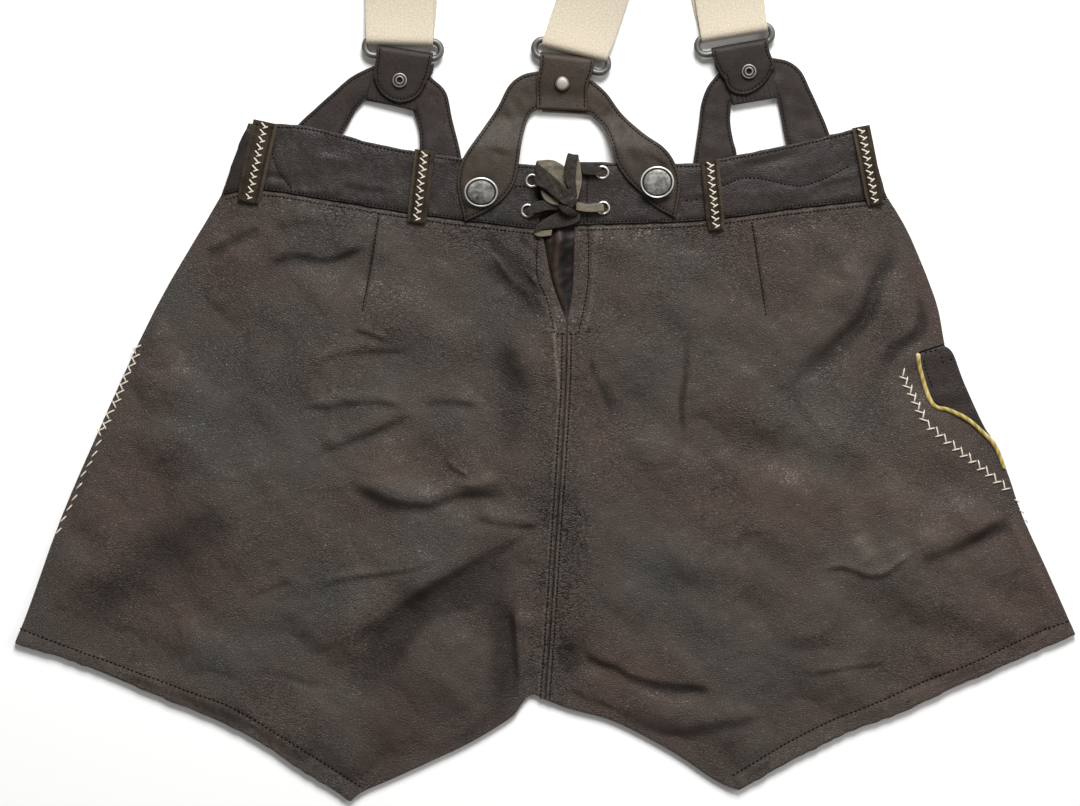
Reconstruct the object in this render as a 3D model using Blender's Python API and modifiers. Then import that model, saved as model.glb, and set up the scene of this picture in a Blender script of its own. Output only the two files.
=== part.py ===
"""Short leather lederhosen lying flat, back side up, with a laced back and button-on suspenders.

The sizes are in millimetres, in the garment's own frame: x to the right of the centre line, y up
from the crotch towards the waist, z up from the surface it lies on. to_metres() turns them into the
scene's frame.
"""

import math
from collections import namedtuple

import bpy
import numpy as np
from mathutils import Vector
from mathutils.geometry import delaunay_2d_cdt

# Driving sizes.
leather = 1.2            # panels
gusset_leather = 1.0
band_leather = 1.4       # waistband, belt loops, tabs
strap_leather = 1.5      # wishbones
webbing = 1.3            # elastic straps
thong = 1.1              # lace
seam_gap = 0.4           # between two pieces that are sewn edge to edge
layer_gap = 0.5          # between two panels that lie on each other
seat_gap = 0.3           # under a small piece that lies on a panel
wrap_gap = 0.45          # between a ring and the band that goes round it
strap_width = 38.0
ring_length, ring_height, ring_wire = 45.6, 15.4, 3.3
ring_corner = 3.6        # radius of the ring's corners, at the wire's middle
waist_middle = 4.5       # x of the flat waist's middle
frame_middle_y = 332.2   # y of the middle of the whole length, suspenders included

# Heights of the undersides, from the surface up.
arm_front_z = 2.7        # front wishbone, and the flap where it passes under the waistband
waist_front_z = 4.4      # front waistband, over the buttons that it lies on
waist_slope = 45.0       # length over which the front comes down from the waist to the surface
arm_apex_z = 1.7         # wishbone between the two layers of its tab
ring_z = 3.5             # middle of a ring's wire
strap_z = 0.75           # middle of a strap that lies on the surface
strap_over_z = 5.8       # middle of a strap that has turned back over itself
gusset_drop = 0.4        # how far the gusset lies below the seat at its edges
gusset_fold = 1.2        # height of the fold down its middle

# The seat's fullness over the front.
puff_height, puff_reach = 4.0, 26.0

panel_step, front_step, trim_step = 13.0, 21.0, 9.0

# Outlines, as (x, y). Each run of points is one smooth edge, and corners fall between runs.
side_left = [
    (-178, 278), (-188, 261), (-207, 229), (-223, 198), (-244, 152), (-266, 101), (-284, 51),
    (-292, 31),
]
side_right = [
    (189, 276), (201, 255), (215, 220), (220, 196), (231, 174), (241, 152), (254, 127), (263, 101),
    (277, 70), (292, 36),
]
hem_left = [(-292, 31), (-257, 20), (-218, 4), (-184, -10), (-158, -23), (-135, -38), (-107, -56)]
hem_right = [(292, 36), (258, 21), (226, 7), (194, -8), (167, -18), (135, -34), (107, -50)]
inseam_left = [(-107, -56), (-101, -51), (-85, -44), (-63, -34), (-41, -21.5), (-19, -9), (0, 0)]
inseam_right = [(107, -50), (94, -44.5), (69, -28), (38, -12), (15, -5.5), (0, 0)]
waist_left = [(-178, 278), (-156, 280.5), (-114, 274), (-63, 266), (-2, 258.5)]
waist_right = [(16, 261), (85, 263.5), (140, 270.5), (189, 276)]
waist_front_left = [*waist_left[:-1], (12, 259.5)]
waist_front_right = [(12, 259.5), *waist_right[1:]]
opening_left = [(-2, 258.5), (-0.5, 252), (4, 230), (12, 208)]
opening_right = [(16, 261), (15, 227), (12, 208)]
centre_back = [(12, 208), (11.5, 176), (9.5, 140), (6, 88), (3, 41), (0, 0)]
centre_front = [(12, 259.5), (11, 140), (6, 88), (0, 0)]
band_top_left = [(-163, 317), (-134, 316), (-112, 311), (-89, 305), (-46, 298), (-4, 294)]
band_top_right = [(17.5, 296), (82, 295), (92, 297), (135, 305.5), (174, 315)]
pocket_mouth = [
    (205, 191), (207, 180), (213, 163), (222, 159.5), (232, 154.5), (240, 147), (247, 139),
    (253, 127),
]

# The largest folds of the back: a soft ridge or trough along a line.
Fold = namedtuple("Fold", "x0 y0 x1 y1 width height")
folds = [
    Fold(-113, 126, -14, 122, 16, 2.4),
    Fold(-128, 146, -40, 170, 15, 2.0),
    Fold(-110, 30, -8, 92, 24, -2.2),
    Fold(-262, 52, -153, 114, 24, -2.2),
    Fold(174, 236, 136, 178, 15, -2.6),
    Fold(158, 226, 122, 190, 16, 2.0),
    Fold(155, 72, 186, 71, 12, 2.4),
    Fold(190, 74, 262, 96, 15, -2.4),
    Fold(20, 24, 100, 12, 15, 2.2),
    Fold(-18, 40, -16, 8, 12, -2.0),
]

# Wishbones, each one arch of leather.
wishbone_back = [
    [(-4, 346), (-12.5, 344), (-20, 338), (-26, 326.5), (-34, 314.5), (-45, 298), (-48, 288),
     (-48, 280), (-44, 263)],
    [(-44, 263), (-32.5, 268.5), (-23.5, 275), (-17.5, 283), (-15, 291), (-12.5, 308), (-9, 320.5),
     (-4.5, 325)],
    [(-4.5, 325), (25, 322)],
    [(25, 322), (32.5, 314.5), (36.5, 305), (38.5, 296.5), (44.5, 287), (52, 279.5), (60, 271.5),
     (71.5, 265)],
    [(71.5, 265), (73, 272), (74.5, 284.5), (71, 296), (65, 304), (54.5, 311.5), (42.5, 322.5),
     (34, 334), (26, 341)],
    [(26, 341), (-4, 346)],
]
wishbone_front_left = [
    [(-94.5, 349), (-106.5, 343), (-116.5, 334.5), (-126.5, 325.5), (-136, 316.5), (-146, 303),
     (-147, 289), (-141, 277)],
    [(-141, 277), (-127, 283), (-117, 296), (-111.5, 311), (-108, 317), (-104, 324.5),
     (-99, 330)],
    [(-99, 330), (-73, 325)],
    [(-73, 325), (-69.5, 314), (-69, 302), (-71, 288), (-62, 270)],
    [(-62, 270), (-47, 286), (-46, 298), (-51, 319.5), (-54.5, 334.5), (-63, 343)],
    [(-63, 343), (-94.5, 349)],
]
wishbone_front_right = [
    [(95.5, 345), (89.5, 337.5), (86, 328), (84.5, 316), (81.5, 295.5), (80, 285), (90, 269)],
    [(90, 269), (105, 284), (105.5, 300), (103.5, 308.5), (102, 318.5), (102.5, 328)],
    [(102.5, 328), (127.5, 332)],
    [(127.5, 332), (129.5, 322), (132, 309.5), (135, 302), (139, 291), (155, 277)],
    [(155, 277), (162, 292), (156, 313), (151.5, 324), (146, 336), (141, 346), (134, 351.5),
     (125, 353.5)],
    [(125, 353.5), (95.5, 345)],
]
Button = namedtuple("Button", "x y tilt")
back_buttons = {"left": Button(-35, 282, 32), "right": Button(61.5, 286.5, 22)}
front_buttons = {
    "far_left": (-131, 293), "left": (-58.5, 285), "right": (93, 284), "far_right": (150, 294),
}
flap_buttons = {"left": (-20, 272), "right": (50, 272)}

# Each ring with its folded tab: tilt is the ring's turn, and tab_turn the tab's, in degrees.
Hanger = namedtuple(
    "Hanger", "name ring_x ring_y tilt rivet_x rivet_y end_x end_y tab_turn round_end"
)
hangers = [
    Hanger("front_left", -78.5, 359.5, -4, -80, 341, -82, 329, -9, True),
    Hanger("back", 14.5, 354, -13, 9.5, 339, 9.5, 325, -6, False),
    Hanger("front_right", 104, 364, 9, 111.5, 346, 115, 333, 15, True),
]
tab_width = 29.5

# Belt loops: the middle of the lower and the upper end.
Loop = namedtuple("Loop", "x0 y0 x1 y1 width")
belt_loops = [
    Loop(-163, 274, -153.5, 317, 12),
    Loop(-70.5, 262.5, -66, 301.5, 10.5),
    Loop(94, 258.5, 90.5, 296, 10),
    Loop(181.5, 272.5, 173.5, 314.5, 10),
]

# Straps beyond the rings: the middle line, with the turn of the strap's width from the x axis, in
# degrees. The two front straps turn back over themselves at the shoulder and come down to the patch.
Row = namedtuple("Row", "x y z turn width")
strap_lines = {
    "left": [
        (-78, 440, strap_z, 0), (-75, 540, strap_z, -3), (-68, 640, strap_z, -3),
        (-63, 704, strap_z, 11), (-62.2, 713, 1.3, 12), (-62, 716, 3.3, 12),
        (-61.2, 713, 5.3, 13), (-58, 704, strap_over_z, 15), (-44, 684, 4.2, 24),
        (-31, 662, 2.9, 31), (-18, 640, strap_z, 31), (20, 577, strap_z, 31),
    ],
    "right": [
        (96, 440, strap_z, 2), (106, 520, strap_z, -10), (119, 590, strap_z, -8),
        (123.5, 640, strap_z, -4), (126, 704, strap_z, -10), (126.4, 713, 1.3, -11),
        (126.4, 716, 3.3, -11), (126, 713, 5.3, -12), (123.5, 704, strap_over_z, -14),
        (113, 684, 4.2, -21), (97, 650, 2.9, -25),
        (84, 622, 2.7, -25), (73.5, 600, strap_z, -25), (63, 577, strap_z, -25),
    ],
    "back": [
        (33, 432, strap_z, -14), (39, 465, strap_z, -6), (42, 505, strap_z, 0),
        (42, 556, strap_z, 0),
    ],
}
junction_patch = [
    [(18, 536), (66, 536)],
    [(66, 536), (76, 570), (88, 596)],
    [(88, 596), (42, 606), (-6, 596)],
    [(-6, 596), (8, 570), (18, 536)],
]

# The flat leather thong, tied in a bow over the opening.
eyelets = {
    "upper_left": (-7, 285.5), "lower_left": (-9.5, 269), "upper_right": (31.5, 290),
    "lower_right": (32, 270.5),
}
eyelet_outer, eyelet_inner = 4.0, 2.5
lace_paths = {
    "lace_strand_left": [
        Row(-9, 269, 9.9, 90, 5.2), Row(-4, 272, 10.6, 80, 5.2), Row(6.6, 271, 11.2, 84, 4.2),
    ],
    "lace_strand_right": [
        Row(32, 270.5, 9.9, 90, 4.6), Row(26, 270.8, 10.6, 90, 4.6), Row(17.3, 271, 11.2, 90, 4.6),
    ],
    "lace_strand_top": [
        Row(30.5, 290.5, 9.9, 90, 5.2), Row(25, 291.5, 10.6, 90, 5.2), Row(20.5, 292, 10.6, 90, 5.2),
    ],
    "lace_loop_tall": [
        Row(14.5, 276, 12.2, 0, 4.5), Row(15, 288, 11.4, 4, 6.5), Row(14.5, 300, 11.4, 4, 7),
        Row(14.3, 302.2, 13, 4, 7), Row(14.5, 300, 14.6, 4, 7), Row(17, 288, 14.6, -4, 5.5),
        Row(18.5, 277, 14, -6, 3.5),
    ],
    "lace_loop_wide": [
        Row(8.8, 276.2, 12.6, 30, 6), Row(0.5, 286, 11.4, 22, 14), Row(-1, 293.5, 11.4, 14, 14),
        Row(-1, 296.2, 13.6, 14, 12), Row(0, 292, 15.8, 14, 12), Row(4.5, 286, 15.8, 22, 10),
        Row(8, 279, 14.4, 30, 5),
    ],
    "lace_end_upper": [
        Row(19.5, 263.8, 9.6, 78, 7), Row(10, 263.5, 9.6, 84, 8), Row(0, 261.5, 9.6, 82, 7),
    ],
    "lace_end_lower": [
        Row(-3.4, 259.5, 10.2, 82, 5), Row(-3.8, 256, 9.4, 78, 5.2), Row(3.5, 255.5, 9.4, 78, 4.6),
    ],
}
lace_knot = (12, 270.5, 10.5)


def to_metres(x, y, z):
    return 0.001 * x, 0.001 * (y - frame_middle_y), 0.001 * z


def ramp(value, start, end):
    """A smooth step from 0 at start to 1 at end."""
    t = min(1.0, max(0.0, (value - start) / (end - start)))
    return t * t * (3 - 2 * t)


def smooth(points, step):
    """Points about step apart on the smooth curve through the given ones."""
    before = 2 * np.array(points[0]) - points[1]
    after = 2 * np.array(points[-1]) - points[-2]
    ends = [before, *map(np.array, points), after]
    found = []
    for a, b, c, d in zip(ends, ends[1:], ends[2:], ends[3:]):
        count = max(1, round(math.dist(b[:2], c[:2]) / step))
        for t in np.arange(count) / count:
            bend = (2 * a - 5 * b + 4 * c - d) * t**2 + (3 * b - a - 3 * c + d) * t**3
            found.append(0.5 * (2 * b + (c - a) * t + bend))
    return found + [ends[-2]]


def loop_of(runs, step):
    """The closed outline along the runs, each from where the last one ended."""
    found = []
    for run in runs:
        for point in smooth(run, step):
            if not found or math.dist(found[-1], point) > 1.0:
                found.append(tuple(float(v) for v in point))
    return found[:-1] if math.dist(found[0], found[-1]) < 1.0 else found


def moved(points, dx, dy):
    return [(x + dx, y + dy) for x, y in points]


def reverse(points):
    return points[::-1]


def distance_to(line, x, y):
    """The shortest distance from a point to a polyline."""
    start, end = line[:-1], line[1:]
    along = end - start
    t = ((np.array((x, y)) - start) * along).sum(1) / (along**2).sum(1)
    nearest = start + np.clip(t, 0, 1)[:, None] * along
    return float(np.hypot(*(nearest - (x, y)).T).min())


def inside(outline, x, y):
    crossings = 0
    for (x0, y0), (x1, y1) in zip(outline, outline[1:] + outline[:1]):
        crossings += (y0 > y) != (y1 > y) and x < x0 + (y - y0) / (y1 - y0) * (x1 - x0)
    return crossings % 2 == 1


edge_step = 8.0
free_edges = [
    np.array(smooth(edge, edge_step))
    for edge in (side_left, side_right, hem_left, hem_right, inseam_left, inseam_right)
]
waist_line = np.array(smooth(waist_left, edge_step) + smooth(waist_right, edge_step))


def rise(x, y):
    """0 on the flat part of the garment, 1 from the waist seam up."""
    seam = float(np.interp(x, waist_line[:, 0], waist_line[:, 1]))
    return ramp(y, seam - waist_slope, seam - 3.0)


def end_drop(x):
    """The share of its height that the waist keeps: it comes down at the sides."""
    return 1.0 - 0.85 * ramp(abs(x - waist_middle), 167.0, 186.0)


def over_flap(x, y):
    return ramp(x, -70, -46) * (1 - ramp(x, 74, 98)) * ramp(y, 104, 128)


def flap_under(x, y):
    return arm_front_z * rise(x, y)


def front_under(x, y):
    lift = over_flap(x, y) * (leather + layer_gap)
    return lift + (waist_front_z * end_drop(x) - lift) * rise(x, y)


def fold_height(x, y):
    total = 0.0
    for fold in folds:
        along = np.array((fold.x1 - fold.x0, fold.y1 - fold.y0))
        t = float(np.dot((x - fold.x0, y - fold.y0), along) / np.dot(along, along))
        reach = math.hypot(x - fold.x0 - t * along[0], y - fold.y0 - t * along[1])
        past_end = max(0.0, -t, t - 1) * float(np.hypot(*along))
        fade = (reach / fold.width) ** 2 + (past_end / fold.width) ** 2
        total += fold.height * math.exp(-fade)
    return total


def back_under(x, y):
    edge = min(distance_to(line, x, y) for line in free_edges)
    fullness = 1 - math.exp(-((edge / puff_reach) ** 1.5))
    puff = fullness * (1 - rise(x, y)) * max(0.0, puff_height + fold_height(x, y))
    return front_under(x, y) + leather + layer_gap + puff


def band_front_under(x, y):
    return waist_front_z * end_drop(x)


def band_back_under(x, y):
    return waist_front_z * end_drop(x) + leather + layer_gap


def band_back_top(x):
    return band_back_under(x, 0) + band_leather


def gusset_under(x, y):
    middle = 7 + 0.06 * (292 - y)
    fold = gusset_fold * math.exp(-(((x - middle) / 3.5) ** 2)) * ramp(y, 215, 240)
    return back_under(x, y) - gusset_drop + fold


def arm_back_under(x, y):
    on_band = band_back_top(x) + seat_gap
    return on_band + (arm_apex_z - on_band) * ramp(y, 302, 322)


def arm_front_under(x, y):
    return arm_front_z + (arm_apex_z - arm_front_z) * ramp(y, 300, 322)


def facing_under(x, y):
    return front_under(x, y) + leather + layer_gap


def patch_under(x, y):
    return strap_z + 0.5 * webbing + seat_gap


def new_material(name, colour, roughness, metallic=0.0):
    material = bpy.data.materials.new(name)
    material.use_nodes = True
    shader = material.node_tree.nodes["Principled BSDF"]
    shader.inputs["Base Color"].default_value = (*colour, 1.0)
    shader.inputs["Roughness"].default_value = roughness
    shader.inputs["Metallic"].default_value = metallic
    return material


def add_object(name, data, material):
    data.materials.append(material)
    obj = bpy.data.objects.new(name, data)
    parts.objects.link(obj)
    return obj


def add_open_mesh(name, points, faces, material):
    mesh = bpy.data.meshes.new(name)
    mesh.from_pydata([to_metres(*point) for point in points], [], faces)
    mesh.update()
    return add_object(name, mesh, material)


def thicken(obj, wall, offset):
    solid = obj.modifiers.new("wall", "SOLIDIFY")
    solid.thickness = 0.001 * wall
    solid.offset = offset


def add_sheet(name, runs, step, under, wall, material):
    """A cut piece of leather: its outline filled with an even net of points at the heights under(x, y)."""
    outline = loop_of(runs, step)
    low, high = np.min(outline, axis=0), np.max(outline, axis=0)
    closed = np.array(outline + outline[:1])
    points = list(outline)
    for row in range(1, int((high[1] - low[1]) / step) + 1):
        y = low[1] + row * step
        start = low[0] + step * (0.5 if row % 2 else 1.0)
        for x in np.arange(start, high[0], step):
            if inside(outline, x, y) and distance_to(closed, x, y) > 0.55 * step:
                points.append((float(x), float(y)))
    border = [list(range(len(outline)))]
    flat, _, faces, *_ = delaunay_2d_cdt([Vector(p) for p in points], [], border, 1, 1e-4)
    turned = [face if face_area(flat, face) > 0 else face[::-1] for face in faces]
    obj = add_open_mesh(name, [(p.x, p.y, under(p.x, p.y)) for p in flat], turned, material)
    thicken(obj, wall, 1.0)
    return obj


def face_area(flat, face):
    a, b, c = (flat[i] for i in face)
    return (b - a).cross(c - a)


def add_ribbon(name, rows, wall, material, step=0.0):
    """A flat band along its rows, with its width turned as each row says."""
    if step:
        rows = [Row(*values) for values in smooth([tuple(row) for row in rows], step)]
    points = []
    for row in rows:
        turn = math.radians(row.turn)
        for side in (-0.5, 0.5):
            reach = side * row.width
            height = max(row.z, 0.5 * wall)
            points.append((row.x + reach * math.cos(turn), row.y + reach * math.sin(turn), height))
    faces = [(2 * i, 2 * i + 1, 2 * i + 3, 2 * i + 2) for i in range(len(rows) - 1)]
    obj = add_open_mesh(name, points, faces, material)
    thicken(obj, wall, 0.0)
    return obj


def add_turned(name, profile, x, y, z, steps, material, tilt=0.0):
    """A turned piece, leaning back by tilt degrees: profile is (radius, height) down its outer side."""
    mesh = bpy.data.meshes.new(name)
    points = [(0.001 * radius, 0.0, 0.001 * height) for radius, height in profile]
    closed = profile[0][0] > 0
    edges = [(i, i + 1) for i in range(len(points) - 1)]
    if closed:
        edges.append((len(points) - 1, 0))
    mesh.from_pydata(points, edges, [])
    obj = add_object(name, mesh, material)
    obj.location = to_metres(x, y, z)
    obj.rotation_euler.x = math.radians(tilt)
    screw = obj.modifiers.new("turn", "SCREW")
    screw.steps = screw.render_steps = steps
    screw.use_merge_vertices = True
    screw.merge_threshold = 0.00001
    return obj


def add_tube(name, points, diameter, material, cyclic=False):
    curve = bpy.data.curves.new(name, "CURVE")
    curve.dimensions = "3D"
    curve.bevel_depth = 0.0005 * diameter
    curve.bevel_resolution = 2
    curve.use_fill_caps = True
    spline = curve.splines.new("POLY")
    spline.points.add(len(points) - 1)
    for target, point in zip(spline.points, points):
        target.co = (*to_metres(*point), 1.0)
    spline.use_cyclic_u = cyclic
    return add_object(name, curve, material)


def add_panels():
    half = 0.5 * seam_gap
    flap = [
        [(-36, 285), (-37, 220), (-30, 148), (-18, 142)],
        [(-18, 142), (48, 142)],
        [(48, 142), (60, 148), (66, 220), (65, 285)],
        [(65, 285), (-36, 285)],
    ]
    add_sheet("front_flap", flap, 15.0, flap_under, leather, hide)
    left_edges = [reverse(inseam_left), reverse(hem_left), reverse(side_left)]
    front_left = [moved(waist_front_left, 0, -half), moved(centre_front, -half, 0), *left_edges]
    add_sheet("front_left", front_left, front_step, front_under, leather, hide)
    front_right = [
        moved(waist_front_right, 0, -half), side_right, hem_right, inseam_right,
        reverse(moved(centre_front, half, 0)),
    ]
    add_sheet("front_right", front_right, front_step, front_under, leather, hide)
    back_left = [
        moved(waist_left, 0, -half), moved(opening_left, -half, 0), moved(centre_back, -half, 0),
        *left_edges,
    ]
    add_sheet("back_left", back_left, panel_step, back_under, leather, hide)
    side_with_pocket = [
        side_right[:4], [(219, 195.5), (205, 191)], pocket_mouth[:3], pocket_mouth[2:], side_right[6:],
    ]
    back_right = [
        moved(waist_right, 0, -half), *side_with_pocket, hem_right, inseam_right,
        reverse(moved(centre_back, half, 0)), reverse(moved(opening_right, half, 0)),
    ]
    add_sheet("back_right", back_right, panel_step, back_under, leather, hide)
    gusset = [
        [(-1.2, 291), (15.6, 291)],
        [(15.6, 291), (15.3, 261), (14.3, 227), (12.2, 213)],
        [(12.2, 213), (4.9, 231), (0.4, 252), (-1.2, 259)],
        [(-1.2, 259), (-1.2, 291)],
    ]
    add_sheet("back_gusset", gusset, 6.0, gusset_under, gusset_leather, dark_hide)


def add_waistband():
    half = 0.5 * seam_gap
    front_below_back = 3.0
    left_end = [(-163, 317), (-169, 303.5), (-178, 278)]
    right_end = [(174, 315), (182.5, 295), (187, 280), (189, 276)]
    front = [
        moved(waist_front_left, 0, half), moved(waist_front_right, 0, half), reverse(right_end),
        moved(reverse(band_top_right), 0, -front_below_back),
        moved(reverse(band_top_left), 0, -front_below_back), left_end,
    ]
    add_sheet("waistband_front", front, front_step, band_front_under, leather, band_hide)
    back_left = [
        moved(waist_left, 0, half), [(-2, 258.5), (-4, 294)], reverse(band_top_left), left_end,
    ]
    add_sheet("waistband_back_left", back_left, trim_step, band_back_under, band_leather, band_hide)
    back_right = [
        moved(waist_right, 0, half), reverse(right_end), reverse(band_top_right),
        [(17.5, 296), (16, 261)],
    ]
    add_sheet("waistband_back_right", back_right, trim_step, band_back_under, band_leather, band_hide)


def add_belt_loops():
    for number, loop in enumerate(belt_loops, 1):
        turn = math.degrees(math.atan2(loop.x0 - loop.x1, loop.y1 - loop.y0))
        rows = []
        for t, lift in ((0, 0), (0.12, 0.2), (0.3, 1.6), (0.5, 2.1), (0.75, 1.6), (0.95, 0.2), (1, 0)):
            x = loop.x0 + t * (loop.x1 - loop.x0)
            y = loop.y0 + t * (loop.y1 - loop.y0)
            top = max(band_back_top(x + side * 0.5 * loop.width) for side in (-1, 1))
            width = loop.width * (0.8 if t == 0 else 1)
            rows.append(Row(x, y, top + seat_gap + 0.5 * band_leather + lift, turn, width))
        add_ribbon(f"belt_loop_{number}", rows, band_leather, suede)


def add_pocket():
    cord_thickness = 2.0
    mouth = smooth(pocket_mouth, 5.0)
    clear_of_mouth = moved(pocket_mouth[2:6], 0.7, 0.7) + [(247.2, 143.2)]
    facing = [
        [(205.8, 190), (226, 187)],
        [(226, 187), (231, 174), (241, 152), (246.5, 142.5)],
        reverse(clear_of_mouth),
        [(213.7, 163.7), (207.8, 180), (205.8, 190)],
    ]
    add_sheet("pocket_facing_right", facing, 7.2, facing_under, leather, band_hide)
    lift = leather + seat_gap + 0.55 * cord_thickness
    points = [(x, y, back_under(x, y) + lift) for x, y in mouth]
    add_tube("pocket_piping_right", points, cord_thickness, gold)


def add_wishbones():
    add_sheet("wishbone_back", wishbone_back, trim_step, arm_back_under, strap_leather, smooth_hide)
    for side, outline in (("left", wishbone_front_left), ("right", wishbone_front_right)):
        name = f"wishbone_front_{side}"
        add_sheet(name, outline, trim_step, arm_front_under, band_leather, smooth_hide)


def add_buttons():
    shank = 1.8
    head = [
        (0, 7.2), (4.5, 6.9), (6.6, 6.1), (7.3, 6.5), (9.0, 6.3), (9.2, 5.6), (7.0, 4.9), (shank, 4.6),
        (shank, 0.0), (0, 0.0),
    ]
    flat_head = [(0, 2.4), (6.5, 2.4), (8.6, 1.9), (8.6, 0.6), (7.8, 0.0), (0, 0.0)]
    for side, button in back_buttons.items():
        lean = shank * math.sin(math.radians(button.tilt))
        z = band_back_top(button.x) + strap_leather + 2 * seat_gap + lean
        add_turned(f"button_back_{side}", head, button.x, button.y, z, 20, silver, button.tilt)
    for side, (x, y) in front_buttons.items():
        add_turned(f"button_front_{side}", flat_head, x, y, 0.0, 20, silver)
    for side, (x, y) in flap_buttons.items():
        add_turned(f"flap_button_{side}", flat_head, x, y, 0.0, 20, horn)


def up_of(turn):
    return np.array((-math.sin(math.radians(turn)), math.cos(math.radians(turn))))


def add_rings():
    straight_x = 0.5 * (ring_length - ring_wire) - ring_corner
    straight_y = 0.5 * (ring_height - ring_wire) - ring_corner
    for hanger in hangers:
        up = up_of(hanger.tilt)
        across = np.array((up[1], -up[0]))
        points = []
        for corner in range(4):
            sign_x = 1 if corner in (0, 3) else -1
            sign_y = 1 if corner in (0, 1) else -1
            for step in range(5):
                angle = math.radians(90 * corner + 22.5 * step)
                u = sign_x * straight_x + ring_corner * math.cos(angle)
                v = sign_y * straight_y + ring_corner * math.sin(angle)
                x, y = np.array((hanger.ring_x, hanger.ring_y)) + u * across + v * up
                points.append((x, y, ring_z))
        add_tube(f"ring_{hanger.name}", points, ring_wire, gunmetal, cyclic=True)


def rows_round_wire(hanger, side, wall, width):
    """Rows of a band that comes in under the ring's wire, goes round it and comes out on top. side is
    +1 for the wire away from the garment and -1 for the near one."""
    up = up_of(hanger.tilt)
    radius = 0.5 * ring_wire + wrap_gap + 0.5 * wall
    reach = side * 0.5 * (ring_height - ring_wire)
    rows = []
    for step in range(7):
        angle = math.radians(-90 + 30 * step)
        along = reach - side * radius * math.cos(angle)
        x, y = np.array((hanger.ring_x, hanger.ring_y)) + along * up
        rows.append(Row(x, y, ring_z + radius * math.sin(angle), hanger.tilt, width))
    return rows


def add_tabs():
    rivet = [(0, 1.3), (3.0, 1.2), (4.3, 0.8), (4.5, 0.0), (0, 0.0)]
    snap = [(1.4, 1.5), (3.0, 1.4), (4.3, 0.8), (4.5, 0.0), (1.4, 0.0)]
    low = 0.5 * band_leather + 0.05
    high = arm_apex_z + strap_leather + seat_gap + 0.5 * band_leather
    for hanger in hangers:
        end = np.array((hanger.end_x, hanger.end_y))
        rivet_at = np.array((hanger.rivet_x, hanger.rivet_y))
        down = (end - rivet_at) / np.hypot(*(end - rivet_at))
        under_end = end + 3.0 * down
        flat_top = rivet_at - 4.0 * down
        turn = hanger.tab_turn
        rows = [
            Row(*under_end, low, turn, 24.0),
            Row(*rivet_at, low, turn, 27.5),
            *rows_round_wire(hanger, -1, band_leather, tab_width),
            Row(*flat_top, high, 0.5 * (hanger.tilt + turn), 28.5),
        ]
        if hanger.round_end:
            rows.append(Row(*(end - 7.0 * down), high, turn, 27.0))
            rows.append(Row(*(end - 2.2 * down), high, turn, 20.0))
            rows.append(Row(*end, high, turn, 9.0))
        else:
            rows.append(Row(*end, high, turn, 28.0))
        add_ribbon(f"loop_tab_{hanger.name}", rows, band_leather, smooth_hide)
        top = high + 0.5 * band_leather + seat_gap
        cap = snap if hanger.round_end else rivet
        add_turned(f"rivet_{hanger.name}", cap, *rivet_at, top, 16, silver)


def add_straps():
    sides = {"front_left": "left", "back": "back", "front_right": "right"}
    width_in_ring = 37.0
    row_step = 24.0
    for hanger in hangers:
        side = sides[hanger.name]
        up = up_of(hanger.tilt)
        ring = np.array((hanger.ring_x, hanger.ring_y))
        wrap = rows_round_wire(hanger, 1, webbing, width_in_ring)
        low = wrap[0].z
        over = low + webbing + layer_gap
        start = [Row(*(ring + reach * up), low, hanger.tilt, strap_width) for reach in (52, 24)]
        settle = [
            Row(*(ring + 16 * up), low + 3.2, hanger.tilt, 37.5),
            Row(*(ring + 28 * up), over, hanger.tilt, strap_width),
            Row(*(ring + 56 * up), over, hanger.tilt, strap_width),
        ]
        line = [(*values, strap_width) for values in strap_lines[side]]
        tail = [Row(*values) for values in smooth([tuple(settle[-1]), *line], row_step)[1:]]
        lying = [row._replace(z=max(row.z, strap_z)) for row in tail]
        add_ribbon(f"strap_{side}", [*start, *wrap, *settle, *lying], webbing, cream)
    add_sheet("strap_junction", junction_patch, 18.0, patch_under, band_leather, smooth_hide)


def add_lacing():
    rim = [(eyelet_inner, 0.9), (3.3, 1.1), (eyelet_outer, 0.7), (eyelet_outer, 0.0), (eyelet_inner, 0.0)]
    for name, (x, y) in eyelets.items():
        add_turned(f"eyelet_{name}", rim, x, y, band_back_top(x) + seat_gap, 16, silver)
    for name, rows in lace_paths.items():
        add_ribbon(name, rows, thong, thong_hide, step=3.0)
    knot = [(0, 5.2), (3.0, 4.9), (4.6, 3.6), (4.8, 1.8), (3.6, 0.3), (0, 0.0)]
    add_turned("lace_knot", knot, *lace_knot, 12, thong_hide)


for old in list(bpy.data.objects):
    bpy.data.objects.remove(old)
parts = bpy.data.collections.new("lederhosen")
bpy.context.scene.collection.children.link(parts)

hide = new_material("panel leather", (0.052, 0.040, 0.034), 0.55)
dark_hide = new_material("gusset leather", (0.030, 0.024, 0.022), 0.6)
band_hide = new_material("waistband leather", (0.042, 0.034, 0.032), 0.5)
smooth_hide = new_material("strap leather", (0.070, 0.052, 0.038), 0.45)
suede = new_material("belt loop leather", (0.058, 0.044, 0.030), 0.75)
thong_hide = new_material("thong leather", (0.066, 0.058, 0.045), 0.6)
cream = new_material("elastic webbing", (0.77, 0.69, 0.55), 0.85)
gold = new_material("gold piping", (0.48, 0.37, 0.15), 0.6)
silver = new_material("antique silver", (0.52, 0.51, 0.48), 0.35, 1.0)
gunmetal = new_material("gunmetal", (0.16, 0.15, 0.14), 0.35, 1.0)
horn = new_material("horn", (0.20, 0.13, 0.08), 0.4)

add_panels()
add_waistband()
add_belt_loops()
add_pocket()
add_wishbones()
add_buttons()
add_rings()
add_tabs()
add_straps()
add_lacing()
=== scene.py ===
import math

import bpy
import numpy as np
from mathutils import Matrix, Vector
from mathutils.geometry import delaunay_2d_cdt


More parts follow.
